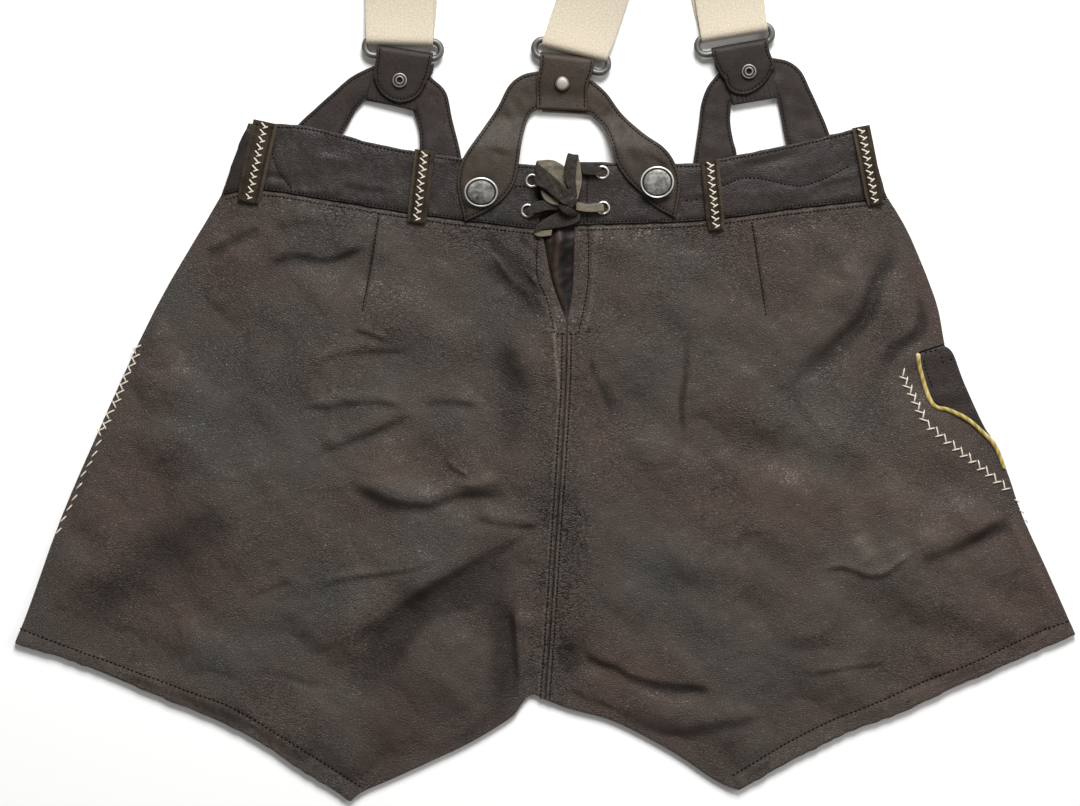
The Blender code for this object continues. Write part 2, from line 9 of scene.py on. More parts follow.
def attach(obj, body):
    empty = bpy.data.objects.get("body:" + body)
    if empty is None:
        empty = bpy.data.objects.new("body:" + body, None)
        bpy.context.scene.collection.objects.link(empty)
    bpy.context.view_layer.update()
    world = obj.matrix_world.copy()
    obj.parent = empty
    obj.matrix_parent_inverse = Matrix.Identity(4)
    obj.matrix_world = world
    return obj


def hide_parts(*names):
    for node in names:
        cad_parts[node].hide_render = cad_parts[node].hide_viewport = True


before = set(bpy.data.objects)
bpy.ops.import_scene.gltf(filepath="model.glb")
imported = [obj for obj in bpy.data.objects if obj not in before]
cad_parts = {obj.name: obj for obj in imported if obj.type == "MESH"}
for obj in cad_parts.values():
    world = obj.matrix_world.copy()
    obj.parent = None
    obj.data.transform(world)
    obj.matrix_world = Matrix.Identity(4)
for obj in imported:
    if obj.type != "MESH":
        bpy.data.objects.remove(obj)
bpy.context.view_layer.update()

# Lengths are in millimetres in the garment's own frame: x right of the centre line, y up from
# the crotch, z up from the table. toWorld turns them into the frame's metres.
frameMiddleY = 332.2


def toWorld(points):
    return (np.asarray(points, float) - (0, frameMiddleY, 0)) * 0.001


# Camera, table and lamps.
cameraSet = {
    "x": -2.75, "y": 163.35, "above": 2400.0, "level": 5.0, "sightWidth": 594.0, "sensor": 36.0,
    "clip": (0.05, 20),  # metres
}
lampSet = {
    # name: (x, y, z, size, watts), each aimed at seatMiddle
    "window": (200, 1560, 1200, 800, 52),
    "doorway": (1500, 500, 1000, 900, 8),
    "reflector": (-1300, -500, 900, 900, 3),
}
seatMiddle = (0, 140, 0)
tableSet = {
    "reach": 3000, "level": -0.25, "colour": (0.93, 0.93, 0.925, 1.0), "fleck": (0.97, 0.97, 0.97, 1.0),
    "sky": (1.0, 0.99, 0.975, 1.0), "skyStrength": 0.2,
}


def aimAt(obj, target):
    obj.rotation_euler = (Vector(target) - obj.location).to_track_quat("-Z", "Y").to_euler()


def addCamera():
    data = bpy.data.cameras.new("camera")
    data.sensor_width = cameraSet["sensor"]
    data.lens = cameraSet["sensor"] * cameraSet["above"] / cameraSet["sightWidth"]
    data.clip_start, data.clip_end = cameraSet["clip"]
    camera = bpy.data.objects.new("camera", data)
    camera.location = toWorld((cameraSet["x"], cameraSet["y"], cameraSet["above"] + cameraSet["level"]))
    bpy.context.scene.collection.objects.link(camera)
    bpy.context.scene.camera = camera


def addLamps():
    for name, (x, y, z, size, watts) in lampSet.items():
        data = bpy.data.lights.new(name, "AREA")
        data.size = 0.001 * size
        data.energy = watts
        lamp = bpy.data.objects.new(name, data)
        lamp.location = toWorld((x, y, z))
        bpy.context.scene.collection.objects.link(lamp)
        aimAt(lamp, toWorld(seatMiddle))


addCamera()
addLamps()
print("camera and lamps are up")


# Shader sums: each Wire is one socket, and arithmetic on it adds Math nodes.
class Wire:
    def __init__(self, tree, socket=None):
        self.tree, self.socket = tree, socket

    def node(self, kind, settings=None, sockets=None, out=0):
        made = self.tree.nodes.new("ShaderNode" + kind)
        for name, value in (settings or {}).items():
            setattr(made, name, value)
        for name, value in (sockets or {}).items():
            if isinstance(value, Wire):
                self.tree.links.new(value.socket, made.inputs[name])
            else:
                made.inputs[name].default_value = value
        return Wire(self.tree, made.outputs[out] if out is not None else None)

    def sum(self, operation, *values):
        return self.node("Math", {"operation": operation}, dict(enumerate(values)))

    def __add__(self, other):
        return self.sum("ADD", self, other)

    def __sub__(self, other):
        return self.sum("SUBTRACT", self, other)

    def __rsub__(self, other):
        return self.sum("SUBTRACT", other, self)

    def __mul__(self, other):
        return self.sum("MULTIPLY", self, other)

    __radd__, __rmul__ = __add__, __mul__

    def wave(self, operation):
        return self.sum(operation, self)

    def between(self, low, high):  # 0 below low, 1 above high
        places = {"Value": self, "From Min": low, "From Max": high}
        return self.node("MapRange", {"interpolation_type": "SMOOTHSTEP"}, places, "Result")

    def mix(self, low, high):  # a colour, by this mask
        return self.node("Mix", {"data_type": "RGBA"}, {0: self, 6: low, 7: high}, 2)

    def vector(self, operation, other, out=0):
        return self.node("VectorMath", {"operation": operation}, {0: self, 1: other}, out)

    def noise(self, size, detail=2.0, rough=0.5, out=0):  # size in the units of this vector
        sockets = {"Vector": self, "Scale": 1 / size, "Detail": detail, "Roughness": rough}
        return self.node("TexNoise", None, sockets, out)

    def pebbles(self, size):  # how far a point is from the edge of its pebble
        sockets = {"Vector": self, "Scale": 1 / size}
        return self.node("TexVoronoi", {"feature": "DISTANCE_TO_EDGE"}, sockets, "Distance")

    def fact(self, name, out=2):  # an attribute of the mesh: 2 is a number, 1 a vector
        return self.node("Attribute", {"attribute_name": name}, None, out)


def dye(code):  # a web colour in linear light
    values = [int(code[i : i + 2], 16) / 255 for i in (0, 2, 4)]
    return (*[v / 12.92 if v <= 0.04045 else ((v + 0.055) / 1.055) ** 2.4 for v in values], 1.0)


def newLook(name, build, settings):
    settings = {key: dye(value) if isinstance(value, str) else value for key, value in settings.items()}
    material = bpy.data.materials.new(name)
    material.use_nodes = True
    material.node_tree.nodes.clear()
    start = Wire(material.node_tree)
    shader = start.node("BsdfPrincipled", None, build(start, settings))
    start.node("OutputMaterial", None, {"Surface": shader}, None)
    return material


def millimetres(start):  # the point's place in the garment's millimetres
    return start.node("TexCoord", None, None, "Object").vector("MULTIPLY", (1000, 1000, 1000))


def bumped(start, strength, depth, height):
    sockets = {"Strength": strength, "Distance": 0.001 * depth, "Height": height}
    return start.node("Bump", None, sockets, "Normal")


def leatherSockets(start, hide):
    place = millimetres(start)
    patch = place.noise(hide["patch"], 3, 0.55)
    stain = place.vector("ADD", (310, 70, 0)).noise(0.6 * hide["patch"], 3, 0.6)
    zone = place.vector("ADD", (50, 410, 0)).noise(0.5 * hide["patch"], 2, 0.5)
    fine = place.noise(0.9, 3, 0.7)
    wander = place.noise(3.1, 2, 0.5, 1).vector("MULTIPLY", (2.4, 2.4, 2.4))
    pulled = place.vector("ADD", wander)
    cells = pulled.vector("MULTIPLY", (0.8, 1.2, 1)).pebbles(hide["grain"]).between(0.0, 0.2)
    lines = pulled.vector("MULTIPLY", (0.36, 0.95, 1)).pebbles(1.35 * hide["grain"]).between(0.0, 0.14)
    drawn = zone.between(0.46, 0.66) * 0.65 + start.fact("drawn")
    # the crease attribute is painted light: below 0 it paints shade into troughs, above 0 a highlight on
    # ridges
    crease = start.fact("crease")
    trough = (0 - crease).between(0.05, 1.15)
    ridge = crease.between(0.15, 1.3)
    colour = (patch + start.fact("hue") * 0.26).between(0.24, 0.76).mix(hide["cool"], hide["warm"])
    colour = (stain.between(0.42, 0.7) * hide["stain"]).mix(colour, hide["deep"])
    colour = ((1 - cells) * hide["grainTone"]).mix(colour, hide["deep"])
    colour = ((1 - lines) * drawn * 0.8).mix(colour, hide["deep"])
    # painted shade in troughs towards the deep colour, then a painted highlight on ridges towards the lighter
    # colour, which also stands for wear
    colour = (trough * hide["troughTone"]).mix(colour, hide["deep"])
    colour = (ridge * hide["ridgeTone"]).mix(colour, hide["worn"])
    colour = start.fact("flesh").mix(colour, hide["flesh"])
    height = cells * 1.2 + lines * drawn * 1.2 + fine * 0.4 + place.noise(5.0, 3, 0.6) * hide["wrinkle"]
    normal = bumped(start, hide["depth"], 0.5, height)
    rough = hide["rough"] + fine * 0.14 + trough * 0.1 - ridge * 0.04 - cells * 0.06
    return {
        "Base Color": colour,
        "Roughness": rough,
        "Normal": normal,
        "Specular IOR Level": hide["shine"],
        "Sheen Weight": hide["sheen"],
        "Sheen Roughness": 0.45,
    }


plainHide = {
    "patch": 24, "stain": 0.3, "troughTone": 0.8, "ridgeTone": 0.5, "grain": 0.9, "grainTone": 0.2,
    "depth": 0.25, "wrinkle": 1.2, "rough": 0.46, "shine": 0.3, "sheen": 0.0,
}
hides = {  # the colours of each leather, and what else differs from the plain hide
    # deep is the dark of stains and grain, and the painted shade of troughs; the ridge colour is a painted
    # highlight that also stands for wear
    "panel leather": {
        "cool": "423f3a", "warm": "4b3c35", "deep": "17120e", "worn": "70665b", "flesh": "5d5246",
        "patch": 85, "stain": 0.14, "troughTone": 0.76, "ridgeTone": 0.55, "grain": 1.25, "grainTone": 0.32,
        "depth": 0.52, "wrinkle": 1.8, "rough": 0.4, "shine": 0.27,
    },
    "waistband leather": {
        "cool": "25211e", "warm": "2a201c", "deep": "110d0b", "worn": "4a403a", "flesh": "5a4f43",
        "patch": 40, "troughTone": 0.6, "ridgeTone": 0.3, "grain": 1.2, "rough": 0.42,
    },
    "gusset leather": {
        "cool": "1b1311", "warm": "201611", "deep": "080504", "worn": "44362e", "flesh": "4a4038",
        "patch": 22, "troughTone": 0.85, "depth": 0.2, "wrinkle": 1.0, "shine": 0.2,
    },
    "strap leather": {
        "cool": "342d23", "warm": "372a20", "deep": "1a140f", "worn": "584b3b", "flesh": "6a5d4a",
        "troughTone": 0.75, "ridgeTone": 0.3, "rough": 0.48,
    },
    "front strap leather": {
        "cool": "2a2420", "warm": "2e241e", "deep": "120e0b", "worn": "564a3f", "flesh": "5a4e40",
        "stain": 0.35, "depth": 0.22, "wrinkle": 1.6, "shine": 0.22,
    },
    "loop suede": {
        "cool": "3f3729", "warm": "3d3125", "deep": "1c1610", "worn": "5b5140", "flesh": "554b3a",
        "patch": 12, "stain": 0.6, "troughTone": 0.85, "grainTone": 0.45, "depth": 0.6, "wrinkle": 1.6,
        "rough": 0.75, "shine": 0.15, "sheen": 0.04,
    },
    "thong leather": {
        "cool": "332e28", "warm": "352b24", "deep": "17130f", "worn": "5a5146", "flesh": "71695a",
        "patch": 10, "stain": 0.4, "grain": 0.8, "grainTone": 0.4, "depth": 0.6, "wrinkle": 1.4,
        "rough": 0.52,
    },
}


def webbingSockets(start, weave):
    run = start.fact("run", 1)
    across, along = (run.vector("DOT_PRODUCT", way, 1) for way in ((1, 0, 0), (0, 1, 0)))
    rib = (across * (2 * math.pi / weave["rib"])).wave("COSINE")
    row = (along * (2 * math.pi / weave["row"]) + rib * 1.2).wave("COSINE")
    fuzz = run.noise(0.7, 3, 0.7)
    knit = (rib + row) * run.noise(3.5, 2, 0.5).between(0.35, 0.65) * 0.08
    mesh = knit + run.noise(1.1, 3, 0.65) * 1.7 - 0.85
    colour = mesh.between(-0.7, 0.6).mix(weave["shade"], weave["thread"])
    colour = (run.noise(34, 2, 0.5).between(0.35, 0.7) * 0.35).mix(colour, weave["warm"])
    normal = bumped(start, 0.5, 0.3, mesh + fuzz * 0.6)
    rough = 0.82 + fuzz * 0.1
    finish = {"Specular IOR Level": 0.2, "Sheen Weight": 0.15}
    return {"Base Color": colour, "Roughness": rough, "Normal": normal, **finish}


def threadSockets(start, thread):
    place = millimetres(start)
    fleck = place.noise(0.6, 2, 0.6)
    colour = fleck.between(0.3, 0.7).mix(thread["dark"], thread["light"])
    normal = bumped(start, 0.4, 0.1, fleck)
    rough = fleck * 0.1 + thread["rough"]
    return {"Base Color": colour, "Roughness": rough, "Normal": normal, "Specular IOR Level": 0.15}


def pipingSockets(start, cord):
    run = start.fact("run", 1)
    around, along = (run.vector("DOT_PRODUCT", way, 1) for way in ((1, 0, 0), (0, 1, 0)))
    turn = around * cord["plies"] + along * (2 * math.pi / cord["lay"])
    ply = turn.wave("COSINE")
    yarn = (turn * 5).wave("SINE")
    colour = (ply * 0.5 + yarn * 0.14).between(-0.5, 0.5).mix(cord["shade"], cord["thread"])
    worn = run.vector("MULTIPLY", (0, 1, 0)).noise(14, 2, 0.5)
    colour = (worn.between(0.45, 0.7) * 0.5 + (1 - along.between(1.5, 4.5)) * 0.8).mix(colour, cord["pale"])
    normal = bumped(start, 0.5, 0.15, yarn)
    rough = 0.5 + yarn * 0.08
    finish = {"Specular IOR Level": 0.5, "Sheen Weight": 0.2}
    return {"Base Color": colour, "Roughness": rough, "Normal": normal, **finish}


def metalSockets(start, metal):
    place = millimetres(start)
    streak = place.vector("MULTIPLY", metal["brush"]).noise(1.0, 4, 0.7)
    cloud = place.noise(metal["cloud"], 3, 0.6)
    # the crease attribute darkens the metal below 0, as patina in grooves and as painted shade under a head,
    # round edges and down holes, and lightens it above 0, as rubbed-bright rims and painted highlights
    tarnish = (0 - start.fact("crease")).between(0.1, 0.8)
    polish = start.fact("crease").between(0.1, 0.9)
    brushed = streak.between(0.3, 0.7) * 0.45 + cloud.between(0.34, 0.66) * 0.5
    colour = brushed.mix(metal["dark"], metal["light"])
    colour = (tarnish * 0.92).mix(colour, metal["tarnish"])
    colour = polish.mix(colour, metal["polished"])
    rough = metal["rough"] + streak * 0.16 + tarnish * 0.25 - polish * metal["polish"]
    normal = bumped(start, 0.25, 0.06, streak + cloud)
    return {"Base Color": colour, "Metallic": metal["metallic"], "Roughness": rough, "Normal": normal}


def hornSockets(start, horn):
    place = millimetres(start)
    streak = place.vector("MULTIPLY", (0.9, 0.15, 0.5)).noise(2.2, 4, 0.6)
    colour = streak.between(0.35, 0.65).mix(horn["dark"], horn["light"])
    normal = bumped(start, 0.1, 0.1, streak)
    return {"Base Color": colour, "Roughness": streak * 0.1 + 0.25, "Normal": normal, "Coat Weight": 0.3}


def tableSockets(start, board):
    place = start.node("TexCoord", None, None, "Object")
    grain = place.noise(0.4, 2, 0.5)
    return {"Base Color": (grain * 0.02).mix(board["colour"], board["fleck"]), "Roughness": 0.8}


looks = {name: newLook(name, leatherSockets, {**plainHide, **hide}) for name, hide in hides.items()}
otherLooks = {
    # look: the material's name, its sockets and its settings
    "webbing": (
        "cream webbing", webbingSockets,
        {"rib": 1.3, "row": 1.0, "thread": "c5bba8", "shade": "9f9585", "warm": "bdb09a"},
    ),
    "seam thread": ("seam thread", threadSockets, {"dark": "080504", "light": "140e0a", "rough": 0.8}),
    "strap thread": ("strap thread", threadSockets, {"dark": "0d0906", "light": "1f170f", "rough": 0.75}),
    "feather thread": ("feather thread", threadSockets, {"dark": "b2a899", "light": "ddd5c8", "rough": 0.6}),
    "piping": (
        "gold piping", pipingSockets,
        {"plies": 2, "lay": 5.2, "thread": "b7a14f", "shade": "8f7b36", "pale": "cdbf8a"},
    ),
    "button silver": (
        "antique silver", metalSockets,
        {"dark": "5c5b58", "light": "e6e3dc", "tarnish": "0f0d0b", "polished": "fbf7ef",
         "metallic": 0.6, "rough": 0.42, "polish": 0.12, "brush": (0.42, 0.5, 0.5), "cloud": 6.0},
    ),
    "nickel": (
        "nickel", metalSockets,
        {"dark": "b9b3aa", "light": "dcd6cd", "tarnish": "3a342d", "polished": "efeae2",
         "metallic": 1.0, "rough": 0.34, "polish": 0.1, "brush": (1, 1, 1), "cloud": 2.0},
    ),
    "gunmetal": (
        "gunmetal", metalSockets,
        {"dark": "5d5b57", "light": "827f7a", "tarnish": "2a2826", "polished": "b5b2ac",
         "metallic": 1.0, "rough": 0.48, "polish": 0.1, "brush": (0.8, 0.8, 1.5), "cloud": 5.0},
    ),
    "rivet": (
        "rivet metal", metalSockets,
        {"dark": "4a4743", "light": "75706a", "tarnish": "0d0b0a", "polished": "a39d95",
         "metallic": 0.85, "rough": 0.5, "polish": 0.05, "brush": (0.7, 1.6, 1), "cloud": 2.5},
    ),
    "horn": ("horn", hornSockets, {"dark": "2a1a10", "light": "6b4a2c"}),
    "table": ("table", tableSockets, tableSet),
}
looks |= {look: newLook(*recipe) for look, recipe in otherLooks.items()}
print(f"{len(looks)} looks are mixed")


# Shapes.
def ramp(value, start, end):  # a smooth step from 0 at start to 1 at end
    t = np.clip((np.asarray(value, float) - start) / (end - start), 0, 1)
    return t * t * (3 - 2 * t)


def bell(value, width):
    return np.exp(-((value / width) ** 2))


def smoothLine(points, step):
    points = np.asarray(points, float)
    ends = np.vstack([2 * points[0] - points[1], points, 2 * points[-1] - points[-2]])
    found = []
    for a, b, c, d in zip(ends, ends[1:], ends[2:], ends[3:]):
        count = max(1, round(float(np.hypot(*(c - b)[:2])) / step))
        t = (np.arange(count) / count)[:, None]
        bend = (2 * a - 5 * b + 4 * c - d) * t**2 + (3 * b - a - 3 * c + d) * t**3
        found.append(0.5 * (2 * b + (c - a) * t + bend))
    return np.vstack([*found, points[-1]])


def evenLine(line, step):  # the same line with points an equal distance apart
    marks = markLine(line)
    count = max(2, round(marks[-1] / step) + 1)
    return atMarks(line, marks, np.linspace(0, marks[-1], count))


def markLine(line):
    return np.concatenate([[0], np.cumsum(np.linalg.norm(np.diff(line, axis=0), axis=1))])


def atMarks(line, marks, wanted):
    return np.stack([np.interp(wanted, marks, values) for values in line.T], axis=-1)


def nearest(xy, line):  # distance, positive on the left of the line, and millimetres along it
    starts, steps = line[:-1], np.diff(line, axis=0)
    lengths = np.hypot(*steps.T)
    marks = markLine(line)
    away, along = np.empty(len(xy)), np.empty(len(xy))
    for first in range(0, len(xy), 5000):
        rel = xy[first : first + 5000, None] - starts
        t = np.clip((rel * steps).sum(2) / lengths**2, 0, 1)
        off = rel - t[..., None] * steps
        far = (off**2).sum(2)
        best = far.argmin(1)
        rows = np.arange(len(best))
        side = steps[best, 0] * off[rows, best, 1] - steps[best, 1] * off[rows, best, 0]
        away[first : first + 5000] = np.sqrt(far[rows, best]) * np.where(side < 0, -1, 1)
        along[first : first + 5000] = marks[best] + t[rows, best] * lengths[best]
    return away, along


def farFrom(xy, line):  # distance, whichever side
    return np.abs(nearest(xy, line)[0])


def moved(points, dx, dy):
    return [(x + dx, y + dy) for x, y in points]


def turned(points):
    return points[::-1]


waveCount = 12


def softWaves(xy, seed, longest, height):
    draw = np.random.default_rng(seed)
    total = np.zeros(len(xy))
    for _ in range(waveCount):
        size = draw.uniform(0.35, 1.0)
        way, phase = draw.uniform(0, 2 * math.pi, 2)
        run = xy[:, 0] * math.cos(way) + xy[:, 1] * math.sin(way)
        total += size * np.sin(2 * math.pi * run / (size * longest) + phase)
    return height * total / math.sqrt(0.5 * waveCount)


def unevenSine(run, spacing, seed):  # a row of puckers that aren't all alike
    phase = np.random.default_rng(seed).uniform(0, 2 * math.pi, 5)
    wander = 1.1 * np.sin(run / (2.3 * spacing) + phase[0]) + 0.8 * np.sin(run / (0.9 * spacing) + phase[1])
    size = 0.7 + 0.3 * np.sin(run / (1.9 * spacing) + phase[2])
    size = size + 0.25 * np.sin(run / (0.7 * spacing) + phase[3])
    return size * np.sin(2 * math.pi * run / spacing + wander + phase[4])


def finish(obj, look, slot, nodes=()):
    obj.data.materials.clear()
    obj.data.materials.append(looks[look])
    bpy.context.scene.collection.objects.link(obj)
    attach(obj, "root")
    if nodes:
        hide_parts(*nodes)
    return obj


def addMesh(name, points, faces, look, slot, nodes=(), facts=()):
    mesh = bpy.data.meshes.new(name)
    points = np.array(points, float)
    points[:, 2] = np.maximum(points[:, 2], 0.0)
    mesh.from_pydata(toWorld(points).tolist(), [], faces)
    mesh.shade_smooth()
    for title, values in dict(facts).items():
        values = np.asarray(values, np.float32)
        vector = values.ndim == 2
        fact = mesh.attributes.new(title, "FLOAT_VECTOR" if vector else "FLOAT", "POINT")
        fact.data.foreach_set("vector" if vector else "value", values.ravel())
    mesh.update()
    return finish(bpy.data.objects.new(name, mesh), look, slot, nodes)


def unit(vectors):
    return vectors / np.linalg.norm(vectors, axis=-1, keepdims=True)


def leftOf(way):
    return np.stack([-way[..., 1], way[..., 0]], -1)


def netFaces(index, closed=False):  # quads between rings of numbered points
    near, ahead = (index, np.roll(index, -1, 0)) if closed else (index[..., :-1, :], index[..., 1:, :])
    return np.stack([near, ahead, np.roll(ahead, -1, -1), np.roll(near, -1, -1)], -1).reshape(-1, 4)


def signedVolume(points, quads):
    a, b, c, d = (points[quads[:, k]] for k in range(4))
    return float((np.cross(a, b) * c).sum() + (np.cross(a, c) * d).sum())


def outward(points, quads, caps=()):  # all faces, turned to look outwards
    faces = quads.tolist() + [list(map(int, cap)) for cap in caps]
    return faces if signedVolume(points, quads) >= 0 else [face[::-1] for face in faces]


def loopOf(*runs):  # the runs round a piece, each begun where the one before it ends
    return [[before[-1], *run] for before, run in zip((runs[-1], *runs), runs)]


def closedLine(runs, step):
    found = []
    for run in runs:
        for point in evenLine(smoothLine(run, step), step):
            if not found or math.dist(found[-1], point) > 0.3 * step:
                found.append(point)
    if math.dist(found[0], found[-1]) < 0.3 * step:
        found.pop()
    found = np.array(found)
    x, y = found.T
    area = (x * np.roll(y, -1) - np.roll(x, -1) * y).sum()
    return found if area > 0 else found[::-1]


def inwardOf(outline):
    ahead = np.roll(outline, -1, 0) - outline
    ahead /= np.hypot(*ahead.T)[:, None]
    behind = np.roll(ahead, 1, 0)
    way = ahead + behind
    way /= np.hypot(*way.T)[:, None]
    lean = np.clip((way * ahead).sum(1), 0.5, 1)[:, None]
    return leftOf(way) / lean


def insetLine(runs, step, inset):  # a closed line inside an outline
    line = closedLine(runs, step)
    inner = line + inwardOf(line) * inset
    return np.vstack([inner, inner[:1]])


def insideOf(xy, outline):
    ends = np.roll(outline, -1, 0)
    crossings = np.zeros(len(xy), int)
    for (x0, y0), (x1, y1) in zip(outline, ends):
        if y0 == y1:
            continue
        band = (y0 > xy[:, 1]) != (y1 > xy[:, 1])
        crossings[band] += xy[band, 0] < x0 + (xy[band, 1] - y0) / (y1 - y0) * (x1 - x0)
    return crossings % 2 == 1


triangleHeight = 0.866


def fillOutline(outline, step, seams=()):  # an even net of points inside, denser along the seams
    low, high = outline.min(0), outline.max(0)
    rows = []
    for number, y in enumerate(np.arange(low[1] + 0.5 * step, high[1], triangleHeight * step)):
        x = np.arange(low[0] + 0.5 * step * (number % 2), high[0], step)
        rows.append(np.column_stack([x, np.full(len(x), y)]))
    net = np.vstack(rows)
    lattice = net[insideOf(net, outline)]
    added = []
    for line, offsets in seams:
        line = evenLine(np.asarray(line, float), max(1.0, 0.8 * step))
        way = np.gradient(line, axis=0)
        way /= np.hypot(*way.T)[:, None]
        reach = max(abs(v) for v in offsets) + 0.62 * step
        lattice, *added = (rows[farFrom(rows, line) > reach] for rows in (lattice, *added))
        added.extend(line + offset * leftOf(way) for offset in offsets)
    if added:
        rows = np.vstack(added)
        lattice = np.vstack([lattice, rows[insideOf(rows, outline)]])
    closed = np.vstack([outline, outline[:1]])
    lattice = lattice[farFrom(lattice, closed) > 0.5 * step]
    points = np.vstack([outline, lattice])
    flat, _, faces, source, *_ = delaunay_2d_cdt(
        [Vector(p) for p in points], [], [list(range(len(outline)))], 1, 1e-5
    )
    points = np.array([tuple(p) for p in flat])
    faces = np.array(faces)
    a, b, c = (points[faces[:, k]] for k in range(3))
    area = (b - a)[:, 0] * (c - a)[:, 1] - (b - a)[:, 1] * (c - a)[:, 0]
    faces[area < 0] = faces[area < 0][:, ::-1]
    home = np.zeros(len(outline), int)  # where each outline point went in the net
    for number, sources in enumerate(source):
        for old in sources:
            if old < len(outline):
                home[old] = number
    return points, faces, home


bevel = 0.29  # how far halfway round an edge lies from the square corner, over its radius


def cutPiece(name, runs, top, cut, look, slot, nodes=(), under=None, seams=(), wobble=None, sink=None):
    # A cut piece of leather with its edges rounded over. top gives heights and crease tones, which paint
    # shade and highlight, and may add how far the grain is drawn and a hue.
    step, soft, wall = cut["step"], cut["round"], cut["wall"]
    outline = closedLine(runs, cut.get("edgeStep", step))
    inward = inwardOf(outline)
    if wobble is not None:
        outline = outline + inward * wobble(outline)[:, None]
        inward = inwardOf(outline)
    net, faces, home = fillOutline(outline + inward * soft, step, seams)
    height, tone, *more = top(net)
    count = len(outline)
    rimTop, rimTone = height[home], tone[home]
    lowNet, lowFaces, lowHome = fillOutline(outline + inward * soft, cut.get("underStep", 3 * step))
    lowHeight = top(lowNet)[0] - wall if under is None else under(lowNet)
    drop = np.zeros(count) if sink is None else sink(outline)
    lowHeight[lowHome] -= drop
    rimLow = lowHeight[lowHome]
    rings = [
        np.column_stack([outline + inward * (bevel * soft), rimTop - bevel * soft]),
        np.column_stack([outline, rimTop - soft]),
        np.column_stack([outline, np.minimum(rimLow + soft, 0.5 * (rimLow + rimTop))]),
        np.column_stack([outline + inward * (bevel * soft), rimLow + bevel * soft]),
    ]
    points = [np.column_stack([net, height]), *rings, np.column_stack([lowNet, lowHeight])]
    starts = np.cumsum([0] + [len(part) for part in points])
    chain = [home, *[starts[k] + np.arange(count) for k in range(1, 5)], starts[5] + lowHome]
    allFaces = faces.tolist() + netFaces(np.array(chain)).tolist() + (lowFaces[:, ::-1] + starts[5]).tolist()
    tones = np.concatenate([tone, *[rimTone] * 2, np.zeros(2 * count + len(lowNet))])
    flesh = np.concatenate([np.zeros(starts[3]), np.ones(starts[6] - starts[3])])
    facts = {"crease": tones, "flesh": flesh}
    for title, values in zip(("drawn", "hue"), more):
        facts[title] = np.concatenate([values, np.zeros(len(tones) - len(net))])
    return addMesh(name, np.vstack(points), allFaces, look, slot, nodes, facts)


def layFlat(piece):  # reads the piece's points and area, and does nothing with them
    places = np.empty(3 * len(piece.data.vertices))
    piece.data.vertices.foreach_get("co", places)
    area = 0.5 * sum(face.area for face in piece.data.polygons)  # it has two faces


def layStrip(rows, step, face=1):
    # rows are (x, y, z, turn, width). face is 1 where the outer side is up on a strip that runs to -y.
    rows = smoothLine(rows, step)
    centre, turn = rows[:, :3], np.radians(rows[:, 3])
    side = np.column_stack([np.cos(turn), np.sin(turn), np.zeros(len(rows))])
    way = np.gradient(centre, axis=0)
    normal = unit(face * np.cross(way, side))
    return {"centre": centre, "side": side, "normal": normal, "width": rows[:, 4], "mark": markLine(centre)}


def onStrip(strip, across, along, lift):
    found = []
    for k in range(3):
        middle, side, normal = (
            np.interp(along, strip["mark"], strip[part][:, k]) for part in ("centre", "side", "normal")
        )
        found.append(middle + across * side + lift * normal)
    return np.stack(found, -1)


def stripPiece(name, strip, cut, look, slot, nodes=(), lift=None):
    # A band with rounded edges: cut holds wall, round, across (points) and crown.
    wall, flat = cut["wall"], np.linspace(-1, 1, cut["across"])
    crown, corner = cut["crown"] * (1 - flat * flat), bevel * cut["round"]
    mark, width = strip["mark"], strip["width"]
    marks = np.concatenate([[mark[0] - 0.3 * wall], mark, [mark[-1] + 0.3 * wall]])
    grow = np.concatenate([[0.45], np.ones(len(mark)), [0.45]])
    half = 0.5 * np.concatenate([[width[0] - 0.5], width, [width[-1] - 0.5]])
    points, runs = [], []
    for place, tall, reach in zip(marks, grow, half):
        top, edge = flat * max(reach - cut["round"], 0.2), np.array((reach - corner, reach, reach - corner))
        high, side = 0.5 * wall * tall, (0.5 * wall - corner) * tall
        across = np.concatenate([top, edge, top[::-1], -edge])
        height = np.concatenate([high + crown, (side, 0, -side), np.full(len(flat), -high), (-side, 0, side)])
        along = np.full(len(across), place)
        if lift is not None:
            height = height + lift(across, along)
        points.append(pastStrip(strip, across, along, height))
        runs.append(np.column_stack([across, along, np.zeros(len(across))]))
    under = np.concatenate([np.zeros(len(flat)), (0, 0, 1), np.ones(len(flat)), (1, 0, 0)])
    index = np.arange(len(marks) * len(under)).reshape(len(marks), -1)
    points = np.vstack(points)
    faces = outward(points, netFaces(index)[:, [0, 3, 2, 1]], [index[0][::-1], index[-1]])
    facts = {"run": np.vstack(runs), "flesh": np.tile(under, len(marks))}
    # cut's tone paints shade and highlight over the band
    if "tone" in cut:
        facts["crease"] = cut["tone"](facts["run"][:, 0], facts["run"][:, 1])
    return addMesh(name, points, faces, look, slot, nodes, facts)


def pastStrip(strip, across, along, lift):  # onStrip that also reaches a little past both ends
    mark = strip["mark"]
    points = onStrip(strip, across, np.clip(along, mark[0], mark[-1]), lift)
    first, last = unit(np.diff(strip["centre"], axis=0)[[0, -1]])
    before, after = np.minimum(along - mark[0], 0), np.maximum(along - mark[-1], 0)
    return points + before[:, None] * first + after[:, None] * last


